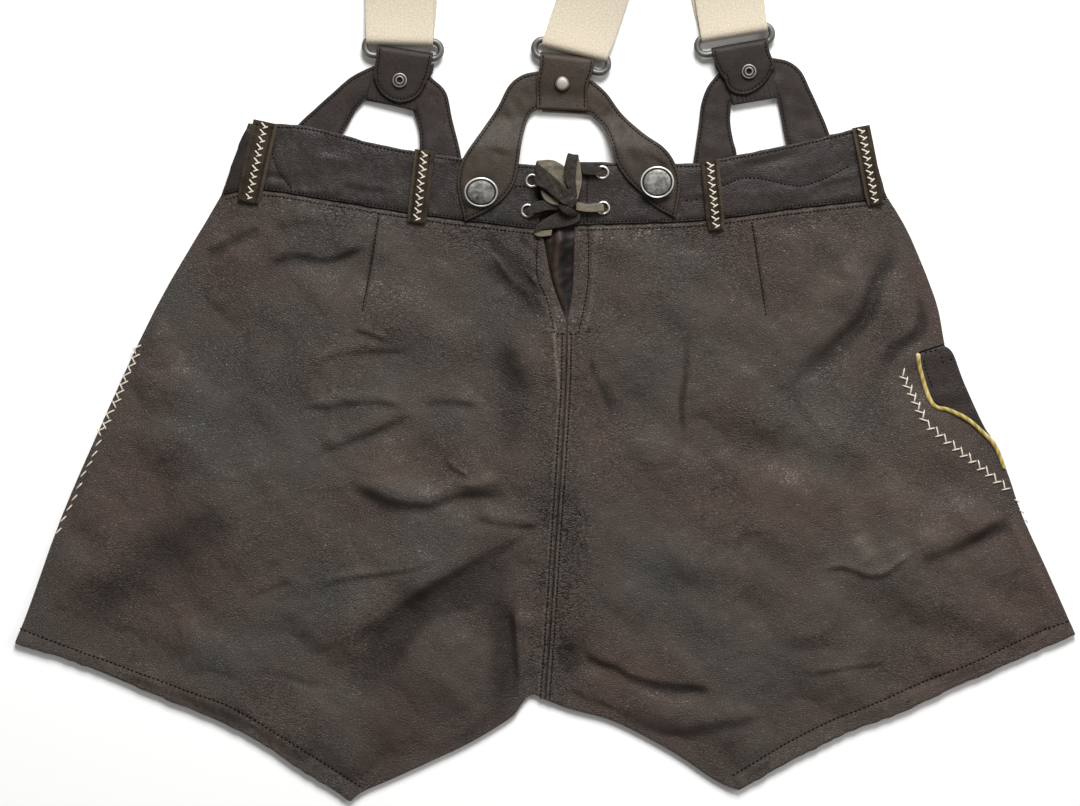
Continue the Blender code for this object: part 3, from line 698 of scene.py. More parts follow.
def tubePiece(name, line, radius, sides, look, slot, nodes=(), closed=False, swell=None):
    line = np.asarray(line, float)
    way = np.roll(line, -1, 0) - np.roll(line, 1, 0) if closed else np.gradient(line, axis=0)
    way = unit(way)
    side = unit(np.cross(way, (0, 0, 1.0)))
    up = np.cross(side, way)
    marks = markLine(line)
    angle = np.arange(sides) * 2 * math.pi / sides
    size = np.full((len(line), sides), float(radius))
    if swell is not None:
        size = size * swell(angle[None], marks[:, None])
    if not closed:
        taper = np.minimum(1, 0.35 + np.minimum(marks, marks[-1] - marks) / (0.9 * radius))
        size *= taper[:, None]
    turn = angle[:, None]
    points = line[:, None] + size[..., None] * (np.cos(turn) * side[:, None] + np.sin(turn) * up[:, None])
    index = np.arange(len(line) * sides).reshape(len(line), sides)
    points = points.reshape(-1, 3)
    faces = outward(points, netFaces(index, closed), [] if closed else [index[0], index[-1][::-1]])
    run = np.stack(np.broadcast_arrays(angle[None], marks[:, None], 0.0), -1).reshape(-1, 3)
    return addMesh(name, points, faces, look, slot, nodes, {"run": run})


def softCorners(profile):  # a turned profile with its corners rounded a little
    profile = np.asarray(profile, float)
    found = [profile[0]]
    for before, point, after in zip(profile, profile[1:], profile[2:]):
        found.append(0.25 * before + 0.75 * point)
        found.append(0.125 * before + 0.75 * point + 0.125 * after)
        found.append(0.75 * point + 0.25 * after)
    if profile[0, 0] == 0:
        found.append(profile[-1])
    return np.array(found)


def turnedPiece(name, profile, place, look, slot, nodes=(), tilt=0.0, sides=56, tones=None):
    # profile is (radius, height) down the outer side; tones are by radius and height.
    profile = softCorners(profile)
    solid = profile[0, 0] == 0
    ring = profile[1:-1] if solid else profile
    angle = np.arange(sides) * 2 * math.pi / sides
    around = np.stack([np.cos(angle), np.sin(angle)], -1)
    tall = np.repeat(ring[:, None, 1:], sides, 1)
    points = np.concatenate([ring[:, None, :1] * around, tall], -1).reshape(-1, 3)
    index = np.arange(len(ring) * sides).reshape(len(ring), sides)
    caps = []
    if solid:
        top, low = len(points), len(points) + 1
        points = np.vstack([points, [0, 0, profile[0, 1]], [0, 0, profile[-1, 1]]])
        caps += [(top, a, b) for a, b in zip(index[0], np.roll(index[0], -1))]
        caps += [(low, b, a) for a, b in zip(index[-1], np.roll(index[-1], -1))]
    faces = outward(points, netFaces(index, not solid), caps)
    radius = np.hypot(points[:, 0], points[:, 1])
    facts = {} if tones is None else {"crease": tones(radius, points[:, 2])}
    lean = math.radians(tilt)
    x, y, z = points.T
    y, z = y * math.cos(lean) - z * math.sin(lean), y * math.sin(lean) + z * math.cos(lean)
    return addMesh(name, np.column_stack([x, y, z]) + place, faces, look, slot, nodes, facts)


# Sewing: each stitch is a stroke of a few points, and threadPiece makes a thread of every stroke.
threadSides, stitchPoints = 6, 5
seamSew = {"pitch": 2.5, "length": 1.6, "thread": 0.75, "dive": 0.5, "wander": 0.12}
fineSew = {"pitch": 2.1, "length": 1.3, "thread": 0.66, "dive": 0.45, "wander": 0.07}


def threadPiece(name, strokes, thread, look, slot):
    strokes = np.asarray(strokes, float)
    sides = threadSides
    count, rings = strokes.shape[:2]
    way = np.gradient(strokes, axis=1)
    way /= np.maximum(np.linalg.norm(way, axis=2), 1e-6)[..., None]
    side = np.cross(way, (0, 0, 1.0))
    side /= np.maximum(np.linalg.norm(side, axis=2), 1e-6)[..., None]
    up = np.cross(side, way)
    angle = np.arange(sides) * 2 * math.pi / sides
    size = np.full(rings, 0.5 * thread)
    size[[0, -1]] *= 0.5
    turn = angle[:, None]
    points = strokes[:, :, None] + size[:, None, None] * (
        np.cos(turn) * side[:, :, None] + np.sin(turn) * up[:, :, None]
    )
    index = np.arange(count * rings * sides).reshape(count, rings, sides)
    points = points.reshape(-1, 3)
    faces = outward(points, netFaces(index)[:, [0, 3, 2, 1]], [*index[:, 0, ::-1], *index[:, -1]])
    return addMesh(name, points, faces, look, slot)


def stitchesAlong(line, sew):  # the points of each stitch, and how it dives at its ends
    marks = markLine(line)
    count = max(1, int(marks[-1] / sew["pitch"]))
    starts = (np.arange(count) + 0.5) * marks[-1] / count
    share = np.linspace(-0.5, 0.5, stitchPoints)
    flat = atMarks(line, marks, starts[:, None] + share * sew["length"])
    return flat, share, sew["thread"] * (0.34 - sew["dive"] * (2 * share) ** 4)


def heightsOf(flat, surface):
    return surface(flat.reshape(-1, 2)).reshape(flat.shape[:-1])


def sewRow(line, sew, surface, seed=1, smooth=True):  # strokes of one sewn row on a surface(xy)
    draw = np.random.default_rng(seed)
    line = smoothLine(line, 1.0) if smooth else np.asarray(line, float)
    flat, share, rise = stitchesAlong(line, sew)
    way = flat[:, -1] - flat[:, 0]
    way /= np.hypot(*way.T)[:, None]
    skew = draw.normal(0, sew["wander"], (len(flat), 1, 1)) * share[:, None] * 2
    flat = flat + skew * leftOf(way)[:, None]
    return np.concatenate([flat, (heightsOf(flat, surface) + rise)[..., None]], -1)


def sewOnStrip(strip, path, sew, lift):  # path is (across, along) on a strip
    flat, _, rise = stitchesAlong(np.asarray(path, float), sew)
    return np.stack([onStrip(strip, row[:, 0], row[:, 1], lift + rise) for row in flat])


def strokesOn(pairs, surface, thread):  # straight strokes between pairs of points
    pairs = np.asarray(pairs, float)
    share = np.linspace(0, 1, stitchPoints)
    flat = pairs[:, 0, None] * (1 - share)[:, None] + pairs[:, 1, None] * share[:, None]
    height = heightsOf(flat, surface) + thread * (0.42 - 0.6 * (2 * share - 1) ** 6)
    return np.concatenate([flat, height[..., None]], -1)


print("shapes are ready")


# Outlines of the cut pieces: the solids' own, but with the pocket's mouth up to 1 mm further out.
sideLeft = [
    (-178, 278), (-188, 261), (-207, 229), (-223, 198), (-244, 152), (-266, 101), (-284, 51), (-292, 31),
]
sideRight = [
    (189, 276), (201, 255), (215, 220), (220, 196), (231, 174), (241, 152), (254, 127), (263, 101),
    (277, 70), (292, 36),
]
hemLeft = [(-292, 31), (-257, 20), (-218, 4), (-184, -10), (-158, -23), (-135, -38), (-107, -56)]
hemRight = [(292, 36), (258, 21), (226, 7), (194, -8), (167, -18), (135, -34), (107, -50)]
inseamLeft = [
    (-107, -56), (-101, -51), (-85, -44), (-63, -34), (-41, -23.5), (-19, -10), (-13, -2.5), (-7.5, 3),
    (0, 0),
]
inseamRight = [(107, -50), (94, -44.5), (69, -28), (38, -12), (15, -5.5), (0, 0)]
waistLeft = [(-178, 278), (-156, 280.5), (-114, 274), (-63, 266), (-2, 258.5)]
waistRight = [(16, 261), (85, 263.5), (140, 270.5), (189, 276)]
waistFrontLeft, waistFrontRight = [*waistLeft[:-1], (12, 259.5)], [(12, 259.5), *waistRight[1:]]
openingLeft = [(-2, 258.5), (-0.5, 252), (4, 230), (12, 208)]
openingRight = [(16, 261), (15, 227), (12, 208)]
centreBack = [(12, 208), (11.5, 176), (9.5, 140), (6, 88), (3, 41), (0, 0)]
centreFront = [(12, 259.5), (11, 140), (6, 88), (0, 0)]
bandTopLeft = [(-163, 317), (-134, 316), (-112, 311), (-89, 305), (-46, 298), (-4, 294)]
bandTopRight = [(17.5, 296), (82, 295), (92, 297), (135, 305.5), (174, 315)]
pocketMouth = [
    (205, 191), (207, 180), (213, 163), (222, 159.5), (232, 154.7), (240.5, 147.6), (247.8, 139.6),
    (253, 127),
]
bandLeftEnd = [(-163, 317), (-169, 303.5), (-178, 278)]
bandRightEnd = [(174, 315), (182.5, 295), (187, 280), (189, 276)]

waists = {"left": waistLeft, "right": waistRight}
freeEdges = {  # the side, the hem and the inner leg of each half
    "left": [smoothLine(line, 8) for line in (sideLeft, hemLeft, inseamLeft)],
    "right": [smoothLine(line, 8) for line in (sideRight, hemRight, inseamRight)],
}
waistLine = np.vstack([smoothLine(waistLeft, 8), smoothLine(waistRight, 8)])
middleLine = smoothLine(centreBack, 3)

# Heights, again the solids' own, and how far the sewn rows lie from their seams.
waistHeight, leather, layerGap, bandWall = 4.4, 1.2, 0.5, 1.4
rowAt = {"belowWaist": 2.75, "aboveWaist": 1.5, "bandEdge": 1.7, "centre": 2.5}
seamHalf = 0.06  # half the gap between two leathers sewn edge to edge


def belowWaist(xy):
    return np.interp(xy[:, 0], waistLine[:, 0], waistLine[:, 1]) - xy[:, 1]


def riseAt(xy):
    return 1 - ramp(belowWaist(xy), 3, 45)


def endDrop(x):
    return 1 - 0.85 * ramp(np.abs(x - 4.5), 167, 186)


def frontUnder(xy):
    x, y = xy.T
    lift = ramp(x, -70, -46) * (1 - ramp(x, 74, 98)) * ramp(y, 104, 128) * (leather + layerGap)
    return lift + (waistHeight * endDrop(x) - lift) * riseAt(xy)


def bandTop(xy):
    return waistHeight * endDrop(xy[:, 0]) + leather + layerGap + bandWall


# Seat panels. Each crease is (kind, half-width, height, line): a step is a ridge above a trough.
seatCut = {
    "step": 1.25, "underStep": 4.5, "edgeStep": 1.5, "round": 0.5, "wall": 1.2,
    "puff": 4.0, "puffReach": 26.0, "creaseLift": 1.3, "spotShade": 0.62,
    "seamEnds": (204, 212), "seamPucker": 4.3,  # where the raised seam ends, and its puckers' spacing
    "openingEnds": (200.5, 203), "dartEnds": (40, 53), "hemBand": (7.2, 9.4),
    "scallop": 13.5, "ruffle": 6.0,  # spacing of the waist's scallops and of the hem's ruffles
}
seatCreases = {
    "left": [
        ("step", 6, 1.5, [(-189, 244), (-177, 251), (-165, 257), (-153, 260)]),
        ("step", 6, 0.7, [(-151, 260), (-142, 262), (-129, 263), (-117, 263)]),
        ("step", 5.5, 1.5, [(-154, 238), (-142, 244), (-133, 244), (-124, 242), (-115, 243),
         (-105, 247), (-97, 251)]),
        ("trough", 7, -0.5, [(-149, 202), (-138, 201), (-127, 196)]),
        ("step", 3, 0.8, [(-106, 203), (-99, 202), (-92, 199), (-85, 197)]),
        ("step", 4, 0.9, [(-130, 183), (-120, 187), (-111, 190), (-100, 192), (-85, 192), (-74, 191)]),
        ("step", 4, 1.2, [
            (-136, 159), (-127, 161), (-119, 161), (-105, 163), (-96, 164), (-83, 162), (-75, 159),
        ]),
        ("step", 4.5, 1.2, [(-69, 163), (-61, 164), (-50, 164), (-43, 163), (-36, 163)]),
        ("step", 7, 1.8, [
            (-128, 142), (-120, 139), (-113, 140), (-104, 144), (-94, 148), (-83, 153), (-72, 159),
        ]),
        ("step", 7, 2.2, [(-112, 124), (-104, 117), (-96, 114), (-87, 110), (-78, 108),
         (-65, 107), (-56, 110), (-46, 113), (-30, 114), (-12, 116)]),
        ("step", 2.4, 0.6, [(-55, 133), (-52, 128), (-47, 125), (-42, 122)]),
        ("ridge", 3, 0.7, [(-49, 121), (-42, 119), (-30, 120), (-19, 121)]),
        ("trough", 9, -1.1, [(-24, 200), (-22, 189), (-19, 180), (-10, 174), (-4, 172)]),
        ("trough", 8, -0.6, [(-19, 165), (-18, 150), (-20, 132)]),
        ("trough", 2.8, -1.5, [(-19, 241), (-16, 236), (-11, 231), (-6, 225), (-3, 221)]),
        ("ridge", 3.2, 1.1, [(-28, 246), (-21, 236), (-16, 229)]),
        ("trough", 4.5, -1.5, [(-34, 244), (-24, 232), (-12, 220), (-1, 208)]),
        ("trough", 1.9, -1.1, [(-31.5, 253), (-18.8, 238), (-7.6, 229), (-1.2, 223.4)]),
        ("trough", 2.0, -1.1, [(-35.8, 261), (-21.6, 247), (-9, 237.5), (-3, 233)]),
        ("trough", 1.6, -0.8, [(-14.6, 255.8), (-7.6, 248.8), (-4.6, 243)]),
        ("trough", 1.7, -1.0, [(-10.4, 229), (-4.7, 217.7), (0.9, 209.3)]),
        ("trough", 3, -0.5, [(-219, 184), (-212, 183), (-204, 184)]),
        ("trough", 4, -0.5, [(-221, 162), (-212, 158), (-204, 154)]),
        ("step", 3.5, 1.0, [(-41, 102), (-32, 99), (-23, 97), (-12, 96), (-2, 96)]),
        ("trough", 3, -0.5, [(-44, 72), (-30, 79), (-19, 85), (-6, 93)]),
        ("step", 8, 1.3, [(-115, 30), (-94, 42), (-76, 53), (-61, 62), (-47, 70), (-28, 81)]),
        ("trough", 10, -2.2, [(-96, 12), (-88, 24), (-80, 37), (-69, 48), (-57, 55), (-43, 62), (-27, 70)]),
        ("step", 3, 0.7, [(-128, 60), (-116, 65), (-104, 67), (-89, 69), (-76, 71), (-65, 74), (-55, 78)]),
        ("trough", 15, -1.6, [(-258, 51), (-241, 55), (-226, 67), (-208, 82), (-190, 93), (-163, 97)]),
        ("ridge", 10, 1.0, [(-263, 59), (-245, 78), (-225, 103)]),
        ("step", 4, 0.6, [(-165, 56), (-153, 61), (-138, 66)]),
        ("trough", 5, -0.5, [(-150, 53), (-134, 58), (-124, 59)]),
        ("ridge", 13, 1.0, [(-204, 38), (-190, 42)]),
        ("trough", 2.5, -0.4, [(-196, 11), (-188, 15), (-181, 15), (-171, 12), (-165, 10)]),
        ("trough", 2.5, -0.4, [(-162, 13), (-151, 14), (-142, 13), (-131, 10), (-119, 8)]),
        ("step", 4.6, 2.8, [(-19, 52), (-17, 33), (-16, 15), (-14, -8)]),
        ("ridge", 10, 1.1, [(-61, 4), (-47, 18), (-30, 35)]),
    ],
    "right": [
        ("trough", 5.5, -2.4, [(192, 257), (189, 244), (184, 232), (180, 221), (175, 209),
         (165, 198), (151, 186), (139, 177), (133, 169)]),
        ("ridge", 8, 1.3, [(178, 246), (173, 240), (169, 234), (162, 227), (153, 219), (144, 202)]),
        ("ridge", 7, 1.1, [(197, 238), (194, 230), (190, 220), (184, 211), (177, 202), (171, 194)]),
        ("trough", 4.5, -2.0, [
            (207, 218), (209, 209), (206, 202), (201, 197), (192, 192), (188, 185), (185, 179),
        ]),
        ("trough", 6, -0.7, [(185, 179), (180, 170), (177, 155), (173, 143)]),
        ("ridge", 13, 1.1, [(146, 150), (157, 158)]),
        ("trough", 2.5, -0.9, [(24, 194), (26, 182), (29, 174), (32, 169), (35, 161), (36, 153)]),
        ("ridge", 3, 0.7, [(24, 180), (28, 169), (31, 159), (34, 150)]),
        ("trough", 2.2, -0.9, [(78, 202), (78, 189), (77, 176), (75, 163), (76, 150), (76, 142)]),
        ("trough", 2.5, -0.5, [(76, 138), (74, 133), (71, 129), (59, 126)]),
        ("trough", 5, -0.6, [(84, 140), (89, 134), (94, 128), (105, 122)]),
        ("step", 2.6, 1.0, [(152, 70), (159, 72), (165, 72), (173, 69), (180, 67), (188, 69),
         (193, 73), (198, 77), (206, 81)]),
        ("ridge", 7, 1.2, [(171, 92), (175, 82), (180, 74)]),
        ("step", 9, 2.4, [(202, 77), (214, 80), (223, 83), (232, 87), (242, 92), (252, 97), (261, 100)]),
        ("step", 5.5, 2.0, [
            (19, 31), (26, 23), (32, 20), (39, 18), (47, 13), (53, 11), (65, 8), (78, 7), (97, 5),
        ]),
        ("trough", 6, -1.2, [(10, 31), (12, 22), (15, 13)]),
        ("ridge", 2.2, 0.5, [(16, 7), (20, 5), (23, 1)]),
        ("ridge", 2.2, 0.5, [(30, 1), (33, -1), (38, -4)]),
        ("step", 9, 1.8, [(55, -16), (67, -18), (78, -17), (91, -14), (101, -12), (120, -10)]),
        ("step", 3, 0.6, [(142, 12), (151, 15), (159, 16), (171, 18), (182, 19), (194, 22)]),
        ("trough", 4, -0.6, [(124, 37), (127, 32), (131, 30), (140, 29), (149, 29), (159, 31), (165, 33)]),
        ("trough", 6, -0.5, [(105, 61), (113, 53), (120, 45)]),
        ("ridge", 9, 0.8, [(93, 44), (100, 46)]),
        ("trough", 5, -0.5, [(76, 58), (85, 62), (94, 65), (104, 66), (111, 66)]),
        ("ridge", 5, 0.6, [(163, 106), (168, 97), (171, 90)]),
        ("trough", 5, -0.4, [(184, 115), (185, 103), (188, 90)]),
        ("ridge", 1.1, 0.9, [(213.3, 207), (214.6, 201.5), (216.4, 196.5)]),
    ],
}
seatDarts = {
    "left": [(-91.5, 265.1), (-95.5, 240), (-100.3, 213.4)],
    "right": [(113.5, 263.5), (117.5, 238), (121.6, 211.2)],
}
hemRows = {
    "left": [
        (-289.5, 39.4), (-261.3, 28.6), (-235.4, 19.3), (-196.9, 5), (-171.6, -4.4), (-134.8, -26.4),
        (-101.2, -48),
    ],
    "right": [
        (288.5, 43.4), (265.7, 34.8), (236.5, 20.9), (210.7, 11), (183.2, -1.1), (156.2, -12.1),
        (129.3, -25.9), (102.8, -42),
    ],
}
openingRow = {
    "left": [(-3.9, 256.5), (-4.4, 234.3), (1.1, 220), (5.5, 201.3)],
    "right": [(23.7, 259), (23.7, 231), (20.9, 213.4), (18.2, 201.3)],
}


def creaseField(xy, table, seed):
    draw = np.random.default_rng(seed)
    height, tone = np.zeros(len(xy)), np.zeros(len(xy))
    for kind, width, size, points in table:
        line = smoothLine(points, 3.5)
        phase = draw.uniform(0, 2 * math.pi, 3)
        near = np.all((xy > line.min(0) - 5.5 * width) & (xy < line.max(0) + 5.5 * width), axis=1)
        if not near.any():
            continue
        away, along = nearest(xy[near], line)
        total = markLine(line)[-1]
        t = along / total
        broad = width * (1 + 0.18 * np.sin(along / 11 + phase[0]))
        strong = size * (1 + 0.2 * np.sin(along / 17 + phase[1]) + 0.1 * np.sin(along / 6 + phase[2]))
        if kind == "step":
            fade = ramp(t, 0, 0.2) * (1 - ramp(t, 0.8, 1))
            over = 0.5 + 0.5 * np.tanh(away / (0.42 * broad))
            shape = 0.9 * over * bell(np.maximum(away, 0), 3.0 * broad)
            shape -= 0.35 * (1 - over) * bell(np.minimum(away, 0), 1.3 * broad)
            shade = 0.3 * bell(away - 1.1 * broad, 0.9 * broad) - 0.6 * bell(away + 0.1 * broad, 0.5 * broad)
        else:
            fade = 0.3 + 0.7 * ramp(t, 0, 0.3) * (1 - ramp(t, 0.7, 1))
            shape = bell(away, broad)
            shade = shape * (0.3 if size > 0 else 0.8)
        # tone is painted light: a highlight above each step and on ridges, shade below each step and in
        # troughs
        height[near] += strong * fade * shape
        tone[near] += np.clip(strong * fade / (0.35 * width**0.6), -1.3, 1.3) * shade
    return height, tone


def smallCreases(seed, low, high, count):  # fine wrinkles scattered over a panel
    draw = np.random.default_rng(seed)
    rows = []
    for _ in range(count):
        start = draw.uniform(low, high)
        way = draw.normal(0.15, 0.55)
        length = draw.uniform(10, 38)
        bend = draw.normal(0, 0.12) * length
        along, off = np.array((math.cos(way), math.sin(way))), np.array((-math.sin(way), math.cos(way)))
        points = [start, start + 0.5 * length * along + bend * off, start + length * along]
        kind = ("step", "ridge", "trough")[draw.integers(3)]
        size = draw.uniform(0.12, 0.32) * (-1 if kind == "trough" else 1)
        rows.append((kind, draw.uniform(1.8, 4.5), size, points))
    return rows


wrinkles = {
    side: smallCreases(seed, low, high, 90)
    for side, seed, low, high in (("left", 3, (-270, 0), (-5, 262)), ("right", 4, (5, 0), (265, 262)))
}
straightHem = {side: smoothLine(hemRows[side], 3) for side in hemRows}
openingSeam = {side: smoothLine(openingRow[side], 3) for side in openingRow}
dartSeam = {side: smoothLine(seatDarts[side], 3) for side in seatDarts}
seatSwell = [(23, 150, 2.2), (24, 70, 1.5), (21, 34, 0.55), (22, 15, 0.14)]  # seed, longest, height
seatStainsAndShade = [  # x, y, reach across, reach up, towards warm, and how dark, as painted shade (below 0 it is lighter, as painted sheen)
    (-183, 163, 20, 34, -0.8, -0.5), (-103, 147, 14, 22, -0.6, 0), (-105, 60, 26, 15, -0.7, -0.6),
    (-91, -27, 19, 30, 1.0, 0.7), (-69, 130, 46, 14, 0.9, -0.5), (-214, 86, 46, 24, 0.7, 0.55),
    (-168, 240, 36, 16, 0.5, 0.6), (-41, 165, 20, 42, 0.5, 0.3), (-24, 26, 9, 38, 0.4, 1.9),
    (-56, 57, 24, 10, 0.2, 1.0), (-84, 36, 18, 13, 0.3, 1.0), (-14, 232, 12, 20, 0.2, 0.8),
    (-250, 58, 16, 30, 0.3, 0.6), (-200, 64, 26, 14, 0.2, 0.4), (-118, 178, 16, 40, -0.2, -0.5),
    (-148, 112, 16, 16, 0, -0.5), (-193, 22, 24, 10, -0.3, -0.6), (-138, 38, 20, 10, -0.2, -0.5),
    (-93, 104, 26, 7, 0.2, 0.6), (-18, 140, 11, 30, 0.2, 0.4), (-104, 244, 26, 10, 0.2, 0.5),
    (-73, -10, 18, 20, 0.3, 0.5), (150, 120, 110, 110, 0.1, -0.5), (150, 155, 26, 26, -0.9, -0.5),
    (86, 233, 34, 22, -0.5, -0.3), (51, 246, 20, 12, -0.2, -0.4), (85, 72, 36, 16, -0.5, -0.2),
    (177, 80, 20, 16, -0.6, -0.4), (240, 44, 34, 32, 0.9, 0.3), (63, 8, 34, 12, 0.7, 0.9),
    (19, 32, 10, 22, 0.3, 0.8), (129, -10, 26, 12, 0.5, 0.6), (30, 120, 14, 40, 0.4, 0.3),
    (135, 108, 26, 18, 0.5, 0), (182, 212, 16, 14, 0.2, 1.0), (203, 222, 10, 18, 0.1, 0.6),
    (167, 188, 20, 14, 0.2, 0.6), (245, 96, 20, 9, 0.5, 0.9), (187, 52, 20, 10, 0.2, 0.5),
    (122, 39, 24, 9, 0.2, 0.5), (222, 178, 12, 14, 0, 0.5), (78, 176, 8, 26, 0.2, 0.4),
    (193, 120, 14, 20, -0.2, -0.5), (268, 52, 16, 16, 0.3, 0.4),
]


def swell(xy):  # the soft unevenness of leather lying on a table
    return sum(softWaves(xy, seed, longest, height) for seed, longest, height in seatSwell)


def seatTop(xy, side):
    xy = np.asarray(xy, float)
    edges = [farFrom(xy, line) for line in freeEdges[side]]
    edge, hem = np.min(edges, axis=0), edges[1]
    below = belowWaist(xy)
    lifted = riseAt(xy)
    full = 1 - np.exp(-((edge / seatCut["puffReach"]) ** 1.5))
    plump = full * (seatCut["puff"] * (1 - lifted) + 1.6 * lifted * ramp(below, 2, 14))
    height, tone = creaseField(xy, seatCreases[side], 11)
    height *= seatCut["creaseLift"]
    small, smallTone = creaseField(xy, wrinkles[side], 12)
    inner = ramp(edge, 1.5, 9) * ramp(below, 1, 8)
    height = inner * (height + small + swell(xy))
    tone = (tone + 0.5 * smallTone) * inner
    top = frontUnder(xy) + 2 * leather + layerGap + np.maximum(0, plump + height)
    # centre seam: a raised strip with fine puckers on both sides; its tone paints the puckers lit and shaded,
    # highlights along the strip and the fold beside it, and shade in the gap and along the stitched row
    centre, along = nearest(xy, middleLine)
    off = np.abs(centre)
    low, high = seatCut["seamEnds"]
    down = ramp(-xy[:, 1], -high, -low)
    shift = along + softWaves(xy, 33, 11, 2.6)
    pucker = np.sin(2 * math.pi * shift / seatCut["seamPucker"]) * ramp(softWaves(xy, 34, 8, 1.0), -0.4, 0.5)
    pucker *= bell(off - 6.5, 4.5)
    strip = 0.5 * (1 - ramp(off, 3.4, 4.8)) - 0.75 * bell(off, 0.55) - 0.22 * bell(off - rowAt["centre"], 0.7)
    fold = bell(centre + 3.5 + 3.2 * ramp(xy[:, 1], 165, 201), 0.8) * ramp(xy[:, 1], 163, 172)
    top += down * (strip + 0.16 * pucker + 0.3 * fold)
    tone += down * (0.5 * pucker * ramp(off, 2, 5) + 0.9 * bell(off - 1.2, 0.7) + 0.8 * bell(off - 3.8, 0.6))
    tone += down * (1.6 * fold - 1.4 * bell(off, 0.5) - 0.3 * bell(off - 2.6, 0.6))
    # opening: a double edge down to its stitched point, with a painted highlight on the raised edge and
    # painted shade along the seam
    rim, _ = nearest(xy, openingSeam[side])
    inward = rim * (1 if side == "right" else -1)
    upper = ramp(xy[:, 1], *seatCut["openingEnds"])
    near = np.abs(rim)
    top += upper * (0.35 * ramp(inward, 0.3, 1.6) * (1 - ramp(inward, 8, 10)) - 0.24 * bell(near, 0.8))
    tone += upper * (0.5 * bell(inward - 3, 2.2) - 0.4 * bell(near, 0.8))
    # waist seam: the leather rolls in, in shallow scallops; the scallops are painted lit and shaded, with
    # painted shade in the seam and along its stitches and a painted highlight just below the seam
    scallop = unevenSine(xy[:, 0], seatCut["scallop"], 41) * bell(below - 5, 6.5)
    sewn = bell(below - rowAt["belowWaist"], 0.7)
    top += 0.28 * scallop - 1.1 * (1 - ramp(below, -0.3, 1.8)) - 0.2 * sewn
    tone += 0.35 * scallop - 0.35 * sewn - 1.4 * (1 - ramp(below, 0, 1.3))
    tone += 0.45 * bell(below - 1.7, 0.5)
    # hem: turned up inside, stitched and puckered; the raised band and its ruffles get a painted highlight,
    # the stitched row painted shade
    row = farFrom(xy, straightHem[side])
    shift = xy[:, 0] + softWaves(xy, 52, 14, 3.0)
    ruffle = np.sin(2 * math.pi * shift / seatCut["ruffle"]) * ramp(softWaves(xy, 53, 17, 1.0), -0.5, 0.4)
    within = 1 - ramp(hem, *seatCut["hemBand"])
    top += within * (0.4 + 0.22 * ruffle * ramp(hem, 0, 3)) - 0.25 * bell(row, 0.75)
    tone += within * ramp(hem, 0.3, 1.5) * (0.45 + 0.22 * ruffle) - 0.35 * bell(row, 0.8)
    # dart, with painted shade down its seam and a faint painted highlight beside it
    dart, run = nearest(xy, dartSeam[side])
    fade = 1 - ramp(run, *seatCut["dartEnds"])
    top += fade * inner * (0.3 * bell(dart - 1.6, 1.8) - 0.55 * bell(dart, 0.8))
    tone += fade * inner * (0.15 * bell(dart - 1.8, 1.8) - 1.6 * bell(dart, 0.7))
    drawn = down * bell(off, 15) + 0.7 * bell(below - 6, 7) + 0.5 * upper * bell(near, 12)
    hue = np.zeros(len(xy))
    for x, y, wide, tall, warmth, dark in seatStainsAndShade:
        spot = np.exp(-(((xy[:, 0] - x) / wide) ** 2) - ((xy[:, 1] - y) / tall) ** 2)
        hue += warmth * spot
        # painted shade where dark is above 0, painted sheen where it is below 0
        tone -= seatCut["spotShade"] * dark * spot
    return top, tone, np.clip(drawn, 0, 1), hue


def seatHeight(side):
    return lambda xy: seatTop(xy, side)[0]


def seatUnder(side):
    return lambda xy: np.maximum(seatTop(xy, side)[0] - seatCut["wall"], frontUnder(xy) + leather + 0.05)


def hemWobble(side):
    def wobble(outline):
        hem = farFrom(outline, freeEdges[side][1]) < 1.0
        rough = softWaves(outline, 61, 9, 0.22) + softWaves(outline, 62, 26, 0.3)
        return np.where(hem, rough, 0.08 * rough)
    return wobble


def closeOnFront(side):  # how far the edge dips to the front panel along its seams
    def sink(outline):
        seams = [farFrom(outline, line) for line in freeEdges[side][::2]]
        return 0.4 * (np.min(seams, axis=0) < 1.2)
    return sink


def addSeat():
    half = seamHalf
    pocketSide = [sideRight[:4], [(219, 195.5), (205, 191)], pocketMouth[:3], pocketMouth[2:], sideRight[6:]]
    runs = {
        "left": [
            moved(waistLeft, 0, -half), moved(openingLeft, -half, 0), moved(centreBack, -half, 0),
            turned(inseamLeft), turned(hemLeft), turned(sideLeft),
        ],
        "right": [
            moved(waistRight, 0, -half), *pocketSide, hemRight, inseamRight,
            turned(moved(centreBack, half, 0)), turned(moved(openingRight, half, 0)),
        ],
    }
    for side in ("left", "right"):
        waist = moved(waists[side], 0, -rowAt["belowWaist"])
        beside = rowAt["centre"] * (-1 if side == "left" else 1)
        seams = [
            (middleLine[3:] + (beside, 0), (-1.2, -0.5, 0.2, 0.9)),
            (smoothLine(waist, 3)[1:-1] + (0, 1.0), (-1.7, -1.0, -0.45, 0.05, 0.5, 1.0)),
            (straightHem[side], (-0.8, 0, 0.8)),
            (openingSeam[side], (-0.8, 0, 0.8)),
            (dartSeam[side], (-0.8, 0, 0.8, 1.8)),
        ]
        seat = cutPiece(
            f"seat_{side}", runs[side], lambda xy: seatTop(xy, side), seatCut,
            "panel leather", "panel_leather", [f"back_{side}"],
            seatUnder(side), seams, hemWobble(side), closeOnFront(side),
        )
        layFlat(seat)


addSeat()
print("seat is cut")


# Hidden front: two panels under the seat, the drop flap and the waistband's front.
frontCut = {"step": 3.2, "underStep": 3.2, "edgeStep": 2.4, "round": 0.5, "wall": 1.2}
flapOutline = loopOf(
    [(-37, 220), (-30, 148), (-18, 142)],
    [(48, 142)],
    [(60, 148), (66, 220), (65, 285)],
    [(-36, 285)],
)


